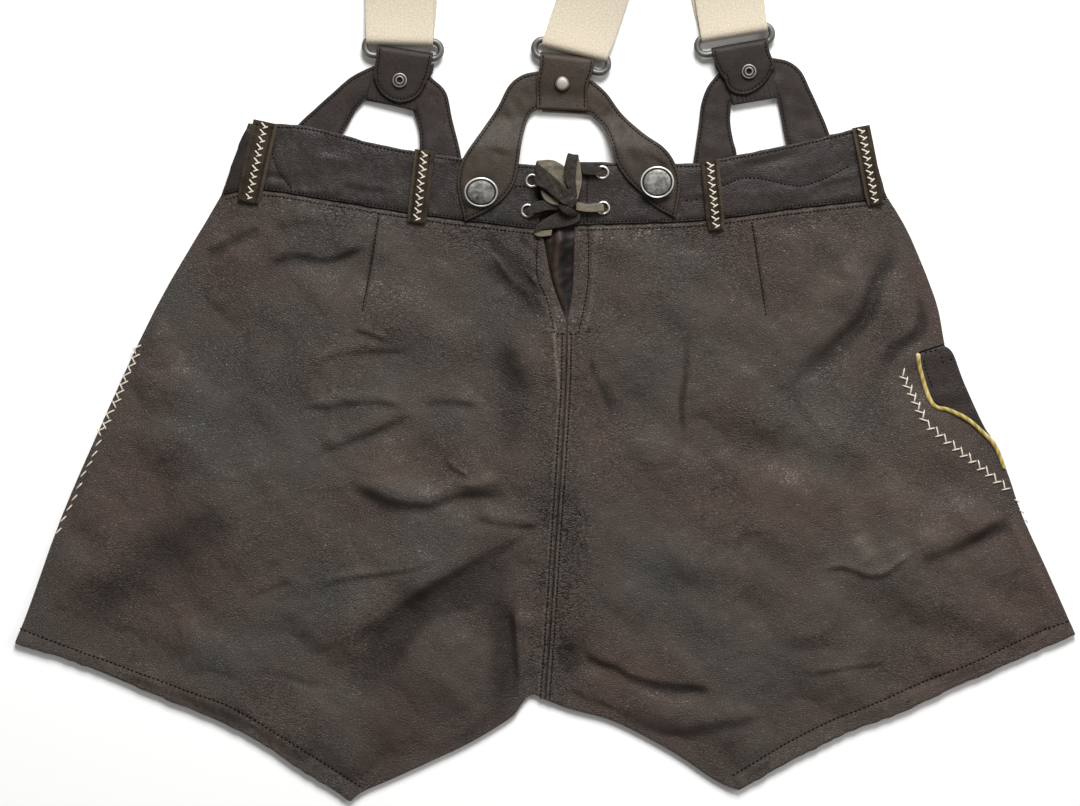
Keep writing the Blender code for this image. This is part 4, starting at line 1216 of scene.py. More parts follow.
def frontTop(xy):
    seam = farFrom(xy, middleLine)
    # painted shade along the centre seam's sewn row
    tone = 0.5 * softWaves(xy, 71, 40, 0.8) - 0.8 * bell(seam - rowAt["centre"], 0.9)
    return frontUnder(xy) + leather, tone


def flapTop(xy):
    return 2.7 * riseAt(xy) + leather, 0.4 * softWaves(xy, 72, 30, 0.8)


def addFront():
    half = seamHalf
    left = [
        moved(waistFrontLeft, 0, -half), moved(centreFront, -half, 0),
        turned(inseamLeft), turned(hemLeft), turned(sideLeft),
    ]
    right = [
        moved(waistFrontRight, 0, -half), sideRight, hemRight, inseamRight,
        turned(moved(centreFront, half, 0)),
    ]
    for name, runs, top, node in (
        ("front_panel_left", left, frontTop, "front_left"),
        ("front_panel_right", right, frontTop, "front_right"),
        ("drop_flap", flapOutline, flapTop, "front_flap"),
    ):
        layFlat(cutPiece(name, runs, top, frontCut, "panel leather", "panel_leather", [node]))


# Waistband: a facing at the front, and two back lengths that meet at the opening.
bandCut = {"step": 1.5, "underStep": 4.0, "edgeStep": 1.5, "round": 0.62, "wall": 1.4, "pucker": 5.2}
frontBandCut = {"step": 3.0, "underStep": 3.0, "edgeStep": 2.0, "round": 0.5, "wall": 1.2, "lower": 3}
bandEdges = {"left": smoothLine(bandTopLeft, 3), "right": smoothLine(bandTopRight, 3)}
curveRows = {
    "left": [(-150.7, 303.1), (-148.8, 296.5), (-145.9, 290), (-139.2, 281)],
    "right": [
        (97.4, 282.7), (107.3, 286.6), (118.8, 286.6), (130.9, 283.8), (140.8, 282.7), (150.7, 285.5),
        (160.1, 289.9), (167.2, 293.7),
    ],
}
bandEnds = {"left": [(-4.6, 293), (-3, 262)], "right": [(23.1, 289), (23.1, 263)]}
bandCreases = [
    ("trough", 2.0, -0.5, [(-158, 285), (-150, 288), (-143, 286)]),
    ("ridge", 3.0, 0.4, [(-128, 300), (-116, 297), (-104, 296)]),
    ("step", 2.4, 0.35, [(-112, 284), (-98, 281), (-84, 280)]),
    ("trough", 3.0, -0.3, [(-60, 276), (-54, 286), (-50, 294)]),
    ("step", 2.6, 0.35, [(74, 276), (84, 277), (92, 275)]),
    ("ridge", 3.5, 0.35, [(104, 276), (124, 279), (142, 280)]),
    ("trough", 2.4, -0.4, [(110, 293), (124, 296), (138, 300)]),
    ("step", 2.4, 0.35, [(150, 283), (160, 285), (172, 287)]),
]


def bandHeight(xy, side):
    xy = np.asarray(xy, float)
    top = bandTop(xy)
    waist = -belowWaist(xy)
    edge = farFrom(xy, bandEdges[side])
    inner = ramp(waist, 0.5, 5) * ramp(edge, 0.5, 5)
    height, tone = creaseField(xy, bandCreases, 81)
    top += inner * (height + softWaves(xy, 82, 30, 0.22) + softWaves(xy, 83, 9, 0.07))
    tone = inner * (0.4 * tone + softWaves(xy, 84, 34, 0.2))
    # painted shade along the sewn rows, then painted highlights on the rolled edges and painted shade along
    # the curved and end rows
    for at, deep in ((waist - rowAt["aboveWaist"], 0.28), (edge - rowAt["bandEdge"], 0.22)):
        top -= deep * bell(at, 0.7)
        tone -= 0.4 * bell(at, 0.8)
    pucker = unevenSine(xy[:, 0], bandCut["pucker"], 85)
    top += 0.13 * pucker * (bell(waist - 3.5, 2.6) + bell(edge - 3.2, 2.4))
    tone += 0.35 * (1 - ramp(waist, 0, 1.1)) + 0.3 * (1 - ramp(edge, 0, 1.2))
    for line in (curveRows[side], bandEnds[side]):
        away = nearest(xy, smoothLine(line, 3))[0]
        top -= 0.2 * bell(away, 0.75)
        tone -= 0.6 * bell(away, 0.9)
    return top, tone


def bandSurface(side):
    return lambda xy: bandHeight(xy, side)[0]


def frontBandTop(xy):
    return waistHeight * endDrop(xy[:, 0]) + leather, np.zeros(len(xy))


def addWaistband():
    half = seamHalf
    lower = -frontBandCut["lower"]
    front = [
        moved(waistFrontLeft, 0, half), moved(waistFrontRight, 0, half),
        turned([*moved(bandRightEnd[:1], 0, lower), *bandRightEnd[1:]]),
        moved(turned(bandTopRight), 0, lower), moved(turned(bandTopLeft), 0, lower),
        [*moved(bandLeftEnd[:1], 0, lower), *bandLeftEnd[1:]],
    ]
    facing = cutPiece(
        "waistband_facing", front, frontBandTop, frontBandCut,
        "waistband leather", "band_leather", ["waistband_front"],
    )
    layFlat(facing)
    runs = {
        "left": [moved(waistLeft, 0, half), [(-2, 258.5), (-4, 294)], turned(bandTopLeft), bandLeftEnd],
        "right": [
            moved(waistRight, 0, half), turned(bandRightEnd), turned(bandTopRight), [(17.5, 296), (16, 261)],
        ],
    }
    for side in ("left", "right"):
        waist = moved(waists[side], 0, rowAt["aboveWaist"])
        seams = [
            (smoothLine(waist, 3)[1:-1], (-0.8, 0, 0.8)),
            (bandEdges[side][1:-1] - (0, rowAt["bandEdge"]), (-0.8, 0, 0.8)),
            (smoothLine(curveRows[side], 3), (-0.7, 0, 0.7)),
        ]
        band = cutPiece(
            f"waistband_{side}", runs[side], lambda xy: bandHeight(xy, side), bandCut,
            "waistband leather", "band_leather", [f"waistband_back_{side}"],
            None, seams, lambda line: softWaves(line, 86, 11, 0.16),
        )
        layFlat(band)


# Gusset: soft leather behind the laced opening, folded down its middle.
gussetCut = {
    "step": 1.1, "underStep": 2.5, "edgeStep": 1.2, "round": 0.2, "wall": 0.9, "thinnest": 0.45, "clear": 0.1,
    "fold": 1.9, "foldWidth": 3.2, "waist": 258.5,
}
gussetOutline = loopOf(
    [(17.4, 291)],
    [(17.2, 261), (16.4, 227), (12.6, 206)],
    [(3.2, 229), (-1.9, 252), (-3.2, 260)],
    [(-3.2, 291)],
)
openingEdges = {"left": smoothLine(openingLeft, 2), "right": smoothLine(openingRight, 2)}


def gussetTop(xy):
    x, y = xy.T
    left = nearest(xy, openingEdges["left"])[0]  # positive inside the opening
    right = -nearest(xy, openingEdges["right"])[0]
    waist = gussetCut["waist"]
    above = y > waist
    shown = np.where(above, 1.0, ramp(np.minimum(left, right), -0.2, 1.6))
    under = np.where(above, frontUnder(xy) + leather + layerGap, seatTop(xy, "left")[0] - 2 * leather + 0.95)
    middle = 8.2 + 0.075 * (262 - y) - 3.2 * ramp(y, 205, 232) * (1 - ramp(y, 232, 262))
    off = x - middle
    fold = gussetCut["fold"] * bell(off, gussetCut["foldWidth"])
    side = 0.7 * bell(off + 6, 2.2) * ramp(y, 225, 240)
    ripple = softWaves(xy, 91, 9, 0.22)
    opened = ramp(y, 207, 226) * shown
    top = under + 0.05 + opened * (fold + side + ripple) + shown * 0.25
    underBand = bandTop(xy) - 1.5 + 0.9 * ramp(y, waist, waist + 0.5)
    top = np.where(above, np.minimum(top, underBand), top)
    # painted highlight along the fold and painted shade beside it
    tone = opened * (bell(off + 1, 1.6) - 0.9 * bell(off - 3.4, 2.0) + 0.2 * bell(off + 6, 1.6))
    return top, 1.5 * tone + 0.5 * ripple


def gussetUnder(xy):
    top = gussetTop(xy)[0]
    lowest = frontUnder(xy) + leather + gussetCut["clear"]
    return np.minimum(top - gussetCut["thinnest"], np.maximum(top - gussetCut["wall"], lowest))


def addGusset():
    gusset = cutPiece(
        "opening_gusset", gussetOutline, gussetTop, gussetCut,
        "gusset leather", "gusset_leather", ["back_gusset"], gussetUnder,
    )
    layFlat(gusset)


# Belt loops: suede straps with a row of feather stitching.
loopCut = {"wall": 1.4, "round": 0.5, "across": 15, "crown": 0.25, "rowStep": 1.0}
beltLoops = [  # x and y of the lower and the upper end, width, and the side with the folded edge
    (-163, 274, -153.5, 317.4, 13.6, 1),
    (-70.5, 262.5, -66, 301.8, 11.2, -1),
    (94, 258.5, 90.5, 296.4, 10, 1),
    (181.5, 272.5, 173.5, 314.8, 10, -1),
]
loopArch = [(0, 0), (0.05, 0.0), (0.12, 0.25), (0.3, 1.5), (0.5, 2.0), (0.72, 1.6), (0.92, 0.35), (1, 0.05)]
feather = {
    "pitch": 3.8, "half": 2.0, "thread": 0.88, "pocketThread": 0.92, "sideThread": 0.9, "sideTurn": 144,
}


def loopStrip(x0, y0, x1, y1, width):
    turn = math.degrees(math.atan2(x0 - x1, y1 - y0))
    rows = []
    for t, lift in loopArch:
        x, y = x0 + t * (x1 - x0), y0 + t * (y1 - y0)
        sides = np.array([(x - 0.5 * width, y), (x + 0.5 * width, y)])
        z = bandTop(sides).max() + 0.3 + 0.5 * loopCut["wall"] + lift
        rows.append((x, y, z, turn, width * (0.84 + 0.16 * min(1, t / 0.15))))
    return layStrip(rows, loopCut["rowStep"], -1)


def featherOnStrip(strip, lift, seed):
    draw = np.random.default_rng(seed)
    strokes = []
    total, half = strip["mark"][-1], feather["half"]
    share = np.linspace(0, 1, 7)
    height = lift + feather["thread"] * (0.42 - 0.5 * (2 * share - 1) ** 6)
    for start in np.linspace(total - 0.7, 4.2, round((total - 4.9) / feather["pitch"]) + 1):
        for near, far, fall, reach in ((-half, 0.55 * half, 0.0, 2.4), (half, -0.4 * half, 1.6, 1.6)):
            near, far = near * draw.uniform(0.88, 1.12), far * draw.uniform(0.85, 1.1)
            along = start - fall - reach * share + draw.uniform(-0.2, 0.2)
            strokes.append(onStrip(strip, near + (far - near) * share, along, height))
    return strokes


def addBeltLoops():
    threads, seams = [], []
    for number, (x0, y0, x1, y1, width, folded) in enumerate(beltLoops, 1):
        strip = loopStrip(x0, y0, x1, y1, width)
        half = 0.5 * width

        def curl(across, along):
            edge = across * folded
            dent = 0.35 * bell(edge - half + 2.4, 0.6) + 0.3 * bell(edge + half - 2.6, 0.55)
            return 0.15 * np.sin(along / 5.1 + across) - dent

        def shade(across, along):
            edge = across * folded
            groove = 1.2 * bell(edge - half + 2.5, 0.7) + 0.8 * bell(edge + half - 2.6, 0.6)
            return 0.9 * ramp(edge, half - 2.2, half - 1.4) - groove

        stripPiece(
            f"belt_loop_cover_{number}", strip, {**loopCut, "tone": shade},
            "loop suede", "loop_leather", [f"belt_loop_{number}"], curl,
        )
        lift = 0.5 * loopCut["wall"] + loopCut["crown"]
        threads += featherOnStrip(strip, lift - 0.1, 100 + number)
        top = strip["mark"][-1] - 2.0
        seams.extend(sewOnStrip(strip, [(-half + 1.4, top), (half - 1.4, top)], fineSew, lift - 0.2))
    threadPiece("feather_belt_loops", threads, feather["thread"], "feather thread", "webbing")
    threadPiece("seams_belt_loops", seams, fineSew["thread"], "strap thread", "loop_leather")


addFront()
addWaistband()
addGusset()
addBeltLoops()
print("waistband, opening and belt loops are on")


# Side pocket: a smooth facing behind a mouth edged with gold piping.
facingCut = {"step": 1.3, "underStep": 3.5, "edgeStep": 1.3, "round": 0.4, "wall": 1.2, "clear": 0.25}
pipingCut = {"radius": 1.3, "step": 0.5, "sides": 24, "sunk": 0.25, "evened": 9}
mouthLine = smoothLine(pocketMouth, 2)
facingRows = [
    [(208.4, 191.0), (212, 191.9), (216.2, 192.8)], [(216.8, 192.6), (218.2, 188.5), (219.3, 184.6)],
    [(208.4, 187.4), (210.2, 180), (213.2, 172.2)], [(221.8, 187.7), (225.2, 187.1)],
]


def facingTop(xy):
    top = frontUnder(xy) + leather + layerGap + leather
    row = np.min([farFrom(xy, smoothLine(line, 2)) for line in facingRows], axis=0)
    wave = softWaves(xy, 95, 22, 0.12) + 0.5 * bell(nearest(xy, mouthLine)[0] + 6, 4)
    # its tone paints the swells lighter as highlight, and paints shade along the sewn rows
    return top + wave - 0.2 * bell(row, 0.8), 0.8 * wave - 0.7 * bell(row, 0.9)


def addPocket():
    clear = moved(pocketMouth[2:6], facingCut["clear"], facingCut["clear"])
    facing = [
        [(205.4, 190.5), (219.1, 195.0)],
        [(219.1, 195.0), (222.2, 193.6), (224.6, 190.8), (226.2, 187)],
        [(226.2, 187), (231, 174), (241, 152), (245.6, 144.9)],
        turned([*clear, (244.9, 144.2)]),
        [(213.25, 163.2), (207.3, 180), (205.4, 190.5)],
    ]
    pocket = cutPiece(
        "pocket_facing", facing, facingTop, facingCut,
        "waistband leather", "band_leather", ["pocket_facing_right"],
    )
    layFlat(pocket)
    mouth = evenLine(smoothLine(pocketMouth, 1.0), pipingCut["step"])
    height = seatTop(mouth, "right")[0] - pipingCut["sunk"] + 0.5 * pipingCut["radius"]
    span = pipingCut["evened"]
    height = np.convolve(np.pad(height, span // 2, "edge"), np.ones(span) / span, "valid")

    def ends(angle, mark):
        return 0.94 + 0.05 * np.cos(mark / 3.7) - 0.45 * (1 - ramp(mark, 0, 1.2))

    tubePiece(
        "pocket_piping", np.column_stack([mouth, height]), pipingCut["radius"], pipingCut["sides"],
        "piping", "piping", ["pocket_piping_right"], False, ends,
    )


# Wishbones: arches of smooth strap leather, buttoned on the band at the back and inside it at the front.
armCut = {
    "step": 1.15, "underStep": 3.0, "edgeStep": 1.2, "round": 0.55, "wall": 1.5, "sewInset": 1.7,
    "clear": 0.3, "deep": 1.75, "lowest": 0.02, "buttonDent": 0.45,
}
frontArmCut = {"step": 1.6, "underStep": 3.0, "edgeStep": 1.4, "round": 0.5, "wall": 1.4}
armOutlines = {
    "wishbone_back": loopOf(
        [
            (-12.5, 344), (-20, 338), (-26, 326.5), (-34, 314.5), (-45, 298), (-48, 288), (-48, 280),
            (-44, 263),
        ],
        [(-32.5, 268.5), (-23.5, 275), (-17.5, 283), (-15, 291), (-12.5, 308), (-9, 320.5), (-4.5, 325)],
        [(25, 322)],
        [(32.5, 314.5), (36.5, 305), (38.5, 296.5), (44.5, 287), (52, 279.5), (60, 271.5), (71.5, 265)],
        [(73, 272), (74.5, 284.5), (71, 296), (65, 304), (54.5, 311.5), (42.5, 322.5), (34, 334), (26, 341)],
        [(-4, 346)],
    ),
    "wishbone_front_left": loopOf(
        [
            (-106.5, 343), (-116.5, 334.5), (-126.5, 325.5), (-136, 316.5), (-146, 303), (-147, 289),
            (-141, 277),
        ],
        [(-127, 283), (-117, 296), (-111.5, 311), (-108, 317), (-104, 324.5), (-99, 330)],
        [(-73, 325)],
        [(-69.5, 314), (-69, 302), (-71, 288), (-62, 270)],
        [(-47, 286), (-46, 298), (-51, 319.5), (-54.5, 334.5), (-63, 343)],
        [(-94.5, 349)],
    ),
    "wishbone_front_right": loopOf(
        [(89.5, 337.5), (86, 328), (84.5, 316), (81.5, 295.5), (80, 285), (90, 269)],
        [(105, 284), (105.5, 300), (103.5, 308.5), (102, 318.5), (102.5, 328)],
        [(127.5, 332)],
        [(129.5, 322), (132, 309.5), (135, 302), (139, 291), (155, 277)],
        [(162, 292), (156, 313), (151.5, 324), (146, 336), (141, 346), (134, 351.5), (125, 353.5)],
        [(95.5, 345)],
    ),
}
armCreases = [
    ("trough", 2.2, -0.45, [(44, 318), (40, 313), (37, 309)]),
    ("ridge", 2.0, 0.4, [(48, 315), (44, 310), (41, 305)]),
    ("trough", 1.6, -0.4, [(36, 328), (33, 322), (29, 318)]),
    ("ridge", 2.2, 0.3, [(-22, 330), (-17, 322), (-14, 314)]),
    ("trough", 2.5, -0.3, [(-36, 306), (-28, 301), (-20, 299)]),
    ("step", 2.0, 0.35, [(56, 300), (62, 297), (68, 293)]),
]
backButtons = {"left": (-35, 282, 32), "right": (61.5, 286.5, 22)}  # x, y, tilt
armSeams = {
    name: insetLine(runs, armCut["edgeStep"], armCut["sewInset"]) for name, runs in armOutlines.items()
}


def backArmTop(xy):
    xy = np.asarray(xy, float)
    onBand = bandTop(xy) + armCut["clear"]
    under = onBand + (1.7 - onBand) * ramp(xy[:, 1], 302, 322)
    height, tone = creaseField(xy, armCreases, 101)
    row = farFrom(xy, armSeams["wishbone_back"])
    inner = ramp(row, 0.5, 4)
    height = inner * (height + softWaves(xy, 102, 17, 0.14)) - 0.3 * bell(row, 0.75)
    # painted shade along the sewn row
    tone = inner * (tone + 0.5 * softWaves(xy, 103, 12, 0.4)) - 0.9 * bell(row, 0.9)
    for x, y, _ in backButtons.values():
        far = np.hypot(xy[:, 0] - x, xy[:, 1] - y)
        height = height - armCut["buttonDent"] * bell(far, 7)
        # painted shadow round each button
        tone = tone - 0.8 * bell(far, 10)
    return under + armCut["wall"] + height, tone


def frontArmTop(name):
    def top(xy):
        row = farFrom(xy, armSeams[name])
        under = 2.7 - ramp(xy[:, 1], 300, 322)
        height = 0.12 * ramp(row, 0.5, 4) * softWaves(xy, 104, 17, 1.0) - 0.28 * bell(row, 0.75)
        # painted shade along the sewn row
        tone = 0.4 * softWaves(xy, 105, 14, 0.5) - 0.9 * bell(row, 0.9)
        return under + frontArmCut["wall"] + height, tone

    return top


def backArmUnder(xy):
    return np.maximum(backArmTop(xy)[0] - armCut["deep"], armCut["lowest"])


def addWishbones():
    for name, runs in armOutlines.items():
        if name == "wishbone_back":
            top, under, cut, look = backArmTop, backArmUnder, armCut, "strap leather"
        else:
            top, under, cut, look = frontArmTop(name), None, frontArmCut, "front strap leather"
        seams = [(armSeams[name][::2], (-0.6, 0, 0.6))]
        cutPiece(f"{name}_arch", runs, top, cut, look, "strap_leather", [name], under, seams)
        rows = sewRow(armSeams[name], fineSew, lambda xy: top(xy)[0], 111, False)
        threadPiece(f"seams_{name}", rows, fineSew["thread"], "strap thread", "strap_leather")


addPocket()
addWishbones()
print("pocket and wishbones are on")


# Rings, folded tabs, rivets and snaps: one hanger for each strap.
ringCut = {"length": 45.6, "height": 13.2, "wire": 3.6, "corner": 4.75, "z": 3.5, "sides": 20}
hangers = {
    # ring: x, y, tilt. fold: where the tab turns over the ring, x, y, turn, width. rivet: x, y.
    # end: x, y, turn. radius: of the tab's end. high: middle of its upper layer. tail: its lower
    # layer past the end. webbing: shift along the ring, turn there, lean above, how far the back layer shows.
    "front_left": {
        "ring": (-78.2, 358.6, -3.5), "fold": (-76.7, 358.2, -8.6, 31), "rivet": (-79.9, 340.7),
        "end": (-80.4, 328.9, -6), "radius": 14.2, "high": 5.0, "tail": -5, "webbing": (-1.9, -1.7, 0.4, 1.7),
    },
    "back": {
        "ring": (14.4, 354.2, -15.5), "fold": (12.6, 354.8, -7.3, 30), "rivet": (9.5, 338.9),
        "end": (9.4, 325.1, -3), "radius": 0, "high": 4.2, "tail": 1.6, "webbing": (1.2, -14, -18.5, 0.0),
    },
    "front_right": {
        "ring": (104.3, 363.2, 12), "fold": (106.9, 361.5, 10, 31.5), "rivet": (112.1, 345.5),
        "end": (110.7, 333.4, 12), "radius": 13.6, "high": 5.0, "tail": -5, "webbing": (0.4, 9.5, 8, -1.7),
    },
}
tabCut = {
    "wall": 1.4, "round": 0.5, "across": 27, "crown": 0.12, "rowStep": 0.8, "wrapGap": 0.45, "foldReach": 2.6,
    "sewInset": 1.7, "sewDip": 0.22, "pucker": 2.4,
}
tabUnders = {  # the soft second layer below each round tab; its second run is the low edge
    "front_left": loopOf(
        [(-96, 341.8), (-98.3, 330.7)],
        [(-71.2, 323.9)],
        [(-67.7, 337.9), (-62.3, 344), (-60.8, 350)],
        [(-94, 344)],
    ),
    "front_right": loopOf(
        [(94.8, 345.8), (99.9, 339.8), (103.3, 327.2)],
        [(128, 331.4)],
        [(125.7, 344.6), (125.1, 352)],
        [(93, 351)],
    ),
}
tabUnderCut = {
    "step": 0.9, "underStep": 2.5, "edgeStep": 0.9, "round": 0.3, "wall": 0.8, "z": 4.05, "pucker": 2.7,
}
rivetProfile = [(0, 1.5), (1.6, 1.46), (3.0, 1.25), (4.0, 0.8), (4.35, 0.35), (4.4, 0.02), (0, 0)]
snapProfile = [
    (1.3, 0.5), (1.35, 1.2), (1.75, 1.45), (2.3, 1.4), (2.7, 1.05), (3.05, 1.0), (3.4, 1.2), (3.9, 1.0),
    (4.3, 0.5), (4.35, 0.0), (1.3, 0.0), (1.3, 0.5),
]


def upOf(turn):
    return np.array((-math.sin(math.radians(turn)), math.cos(math.radians(turn))))


def ringLine(x, y, tilt):
    up = upOf(tilt)
    across = np.array((up[1], -up[0]))
    corner = ringCut["corner"]
    reachX = 0.5 * (ringCut["length"] - ringCut["wire"]) - corner
    reachY = 0.5 * (ringCut["height"] - ringCut["wire"]) - corner
    points = []
    for number in range(4):
        signX, signY = (1 if number in (0, 3) else -1), (1 if number in (0, 1) else -1)
        for angle in np.radians(90 * number + np.arange(0, 91, 9)):
            u = signX * reachX + corner * math.cos(angle)
            v = signY * reachY + corner * math.sin(angle)
            points.append((*(np.array((x, y)) + u * across + v * up), ringCut["z"]))
    return evenLine(np.array([*points, points[0]]), 1.0)[:-1]


def rowsRoundWire(x, y, tilt, side, wall, width):
    up = upOf(tilt)
    radius = 0.5 * ringCut["wire"] + tabCut["wrapGap"] + 0.5 * wall
    reach = side * 0.5 * (ringCut["height"] - ringCut["wire"])
    rows = []
    for angle in np.radians(np.arange(-90, 91, 15)):
        at = np.array((x, y)) + (reach - side * radius * math.cos(angle)) * up
        rows.append((*at, ringCut["z"] + radius * math.sin(angle), tilt, width))
    return rows


def tabStrip(hanger):
    foldX, foldY, foldTurn, foldWidth = hanger["fold"]
    endX, endY, endTurn = hanger["end"]
    fold, end, rivet = (np.array(at, float) for at in ((foldX, foldY), (endX, endY), hanger["rivet"]))
    down = (end - rivet) / np.hypot(*(end - rivet))
    up = upOf(foldTurn)
    low, high = 0.5 * tabCut["wall"] + 0.05, hanger["high"]
    top = ringCut["z"] + 0.5 * ringCut["wire"] + tabCut["wrapGap"] + 0.5 * tabCut["wall"]
    turn = 0.5 * (foldTurn + endTurn)
    rows = [(*(end + hanger["tail"] * down), low, endTurn, 22), (*rivet, low, turn, 26)]
    for angle in np.radians(np.arange(-90, 91, 15)):
        at = fold - (0.5 * tabCut["wall"] + tabCut["foldReach"] * (1 - math.cos(angle))) * up
        rows.append((*at, 0.5 * (top + low) + 0.5 * (top - low) * math.sin(angle), foldTurn, foldWidth))
    bend = fold - 7.5 * up

    def upperZ(at):
        return high + (top - 0.15 - high) * ramp(np.hypot(*(at - end)), 3, np.hypot(*(bend - end)))

    rows += [(*bend, upperZ(bend), foldTurn, foldWidth - 0.6), (*rivet, upperZ(rivet), turn, foldWidth - 1.8)]
    radius = hanger["radius"]
    if radius:
        for back in [share * radius for share in (0.78, 0.6, 0.45, 0.33, 0.22, 0.14, 0.07, 0.03, 0.007)]:
            width = 2 * math.sqrt(radius**2 - max(0.0, radius - back) ** 2)
            at = end - back * down
            rows.append((*at, upperZ(at), endTurn, width * (1.015 if back > 0.9 * radius else 1)))
    else:
        rows += [(*(end - 7 * down), high, endTurn, 28.2), (*end, high, endTurn, 28)]
    return layStrip(rows, tabCut["rowStep"], 1), float(upperZ(rivet))


def tabSeam(strip, radius):  # (across, along) just inside the tab's edge, on its upper side
    inset, last = tabCut["sewInset"], strip["mark"][-1]
    top = strip["centre"][:, 2] > ringCut["z"] + 0.9
    first = strip["mark"][np.argmax(top)] + 1.2
    marks = np.arange(first, last - (radius if radius else 1.5), 0.6)
    half = 0.5 * np.interp(marks, strip["mark"], strip["width"]) - inset
    right, left = np.column_stack([half, marks]), np.column_stack([-half, marks])[::-1]
    if not radius:
        return [right, left]
    angle = np.linspace(0, math.pi, 40)
    bend = radius - inset
    arc = np.column_stack([bend * np.cos(angle), last - radius + bend * np.sin(angle)])
    return [np.vstack([right, arc, left])]


def snapTone(radius, height):
    # painted highlight rings, and painted shade in the groove, round the outer edge and down the hole
    light = 0.7 * bell(radius - 3.7, 0.35) + 0.5 * bell(radius - 2.0, 0.4)
    dark = 1.1 * bell(radius - 2.9, 0.3) + 1.1 * ramp(radius, 4.1, 4.3) + 1.2 * (1 - ramp(radius, 1.3, 1.6))
    return light - dark


def rivetTone(radius, height):
    # a painted highlight over the cap's middle and painted shade round its edge
    return 0.8 * (1 - ramp(radius, 2.6, 3.6)) - 1.2 * ramp(radius, 3.8, 4.3)


def tabUnderTop(name):
    turn = math.radians(hangers[name]["fold"][2])
    lowEdge = smoothLine(tabUnders[name][1], 2)

    def top(xy):
        far = farFrom(xy, lowEdge)
        run = xy[:, 0] * math.cos(turn) + xy[:, 1] * math.sin(turn)
        pucker = unevenSine(run, tabUnderCut["pucker"], 123) * (0.35 + 0.65 * bell(far, 9))
        # painted shade: the whole layer darker where it lies under the tab and darker still along its low
        # edge, with the puckers lit and shaded
        tone = 0.75 * pucker - 0.6 * bell(far, 1.6) - 0.35
        return tabUnderCut["z"] + 0.14 * pucker - 0.12, tone

    return top


def addHangers():
    seams = []
    for name, hanger in hangers.items():
        look = "strap leather" if name == "back" else "front strap leather"
        tubePiece(
            f"ring_wire_{name}", ringLine(*hanger["ring"]), 0.5 * ringCut["wire"], ringCut["sides"],
            "gunmetal", "gunmetal", [f"ring_{name}"], True,
        )
        strip, rivetZ = tabStrip(hanger)
        last = strip["mark"][-1]
        paths = tabSeam(strip, hanger["radius"])
        soft = 0 if hanger["radius"] else 1  # a straight end is puckered

        def fromSeam(across, along):
            at = np.column_stack([across, along])
            return np.min([farFrom(at, path) for path in paths], axis=0)

        def puckers(across, along):
            return soft * unevenSine(across, tabCut["pucker"], 121) * bell(along - last, 6)

        def press(across, along):
            return 0.12 * puckers(across, along) - tabCut["sewDip"] * bell(fromSeam(across, along), 0.7)

        def shade(across, along):
            # painted light and shade: the puckers lit and shaded, lighter and darker stripes across the tab
            # 19 mm back from its end, and shade along the sewn rows
            worn = 0.6 * unevenSine(across, 1.9, 122) * bell(along - last + 19, 4.5) * bell(across, 7)
            return 0.9 * puckers(across, along) + worn - 0.8 * bell(fromSeam(across, along), 0.9)

        cut = {**tabCut, "tone": shade}
        stripPiece(f"tab_{name}", strip, cut, look, "strap_leather", [f"loop_tab_{name}"], press)
        lift = 0.5 * tabCut["wall"] + tabCut["crown"] - tabCut["sewDip"]
        seams += [sewOnStrip(strip, path, fineSew, lift) for path in paths]
        if name in tabUnders:
            cutPiece(
                f"tab_under_{name}", tabUnders[name], tabUnderTop(name), tabUnderCut, look, "strap_leather",
                (), lambda xy: np.full(len(xy), tabUnderCut["z"] - tabUnderCut["wall"]),
            )
        profile, tones = (snapProfile, snapTone) if hanger["radius"] else (rivetProfile, rivetTone)
        turnedPiece(
            f"rivet_cap_{name}", profile, (*hanger["rivet"], rivetZ + 0.5 * tabCut["wall"] + tabCut["crown"]),
            "rivet", "silver", [f"rivet_{name}"], 0, 48, tones,
        )
    threadPiece("seams_tabs", np.vstack(seams), fineSew["thread"], "strap thread", "strap_leather")


# Buttons: silver on the back arms, and plain ones inside the front.
buttonProfile = [
    (0, 7.25), (2.5, 7.2), (4.6, 6.95), (6.2, 6.55), (7.2, 6.1), (7.65, 5.75), (7.95, 5.75), (8.2, 6.15),
    (8.5, 6.5), (8.85, 6.5), (9.15, 6.2), (9.2, 5.7), (8.8, 5.2), (7.0, 4.9), (2.2, 4.7), (1.8, 4.2),
    (1.8, 0.3), (1.8, 0.0), (0, 0),
]
flatProfile = [
    (0, 2.4), (3.5, 2.4), (6.5, 2.3), (7.8, 2.1), (8.6, 1.7), (8.7, 1.1), (8.5, 0.5), (7.8, 0.0), (0, 0),
]
shank = 1.8
frontButtons = {"far_left": (-131, 293), "left": (-58.5, 285), "right": (93, 284), "far_right": (150, 294)}
flapButtons = {"left": (-20, 272), "right": (50, 272)}


def domeTone(radius, height):
    # a darker groove as patina, a lighter rim that is partly a painted highlight, and painted shade on the
    # underside of the head
    groove = bell(radius - 7.8, 0.55) * (height > 5.2)
    rim = ramp(radius, 8.15, 8.5) * (height > 5.9)
    return -1.0 * groove + rim - 1.0 * (height < 5.1)


def addButtons():
    for side, (x, y, tilt) in backButtons.items():
        lean = shank * math.sin(math.radians(tilt))
        z = bandTop(np.array([(x, y)]))[0] + armCut["wall"] + 0.6 + lean
        turnedPiece(
            f"button_{side}", buttonProfile, (x, y, z), "button silver", "silver",
            [f"button_back_{side}"], tilt, 72, domeTone,
        )
    for side, (x, y) in frontButtons.items():
        turnedPiece(
            f"front_button_{side}", flatProfile, (x, y, 0), "button silver", "silver",
            [f"button_front_{side}"], 0, 48, lambda r, z: -0.9 * bell(r - 7.2, 0.5),
        )
    for side, (x, y) in flapButtons.items():
        turnedPiece(f"horn_button_{side}", flatProfile, (x, y, 0), "horn", "horn", [f"flap_button_{side}"])


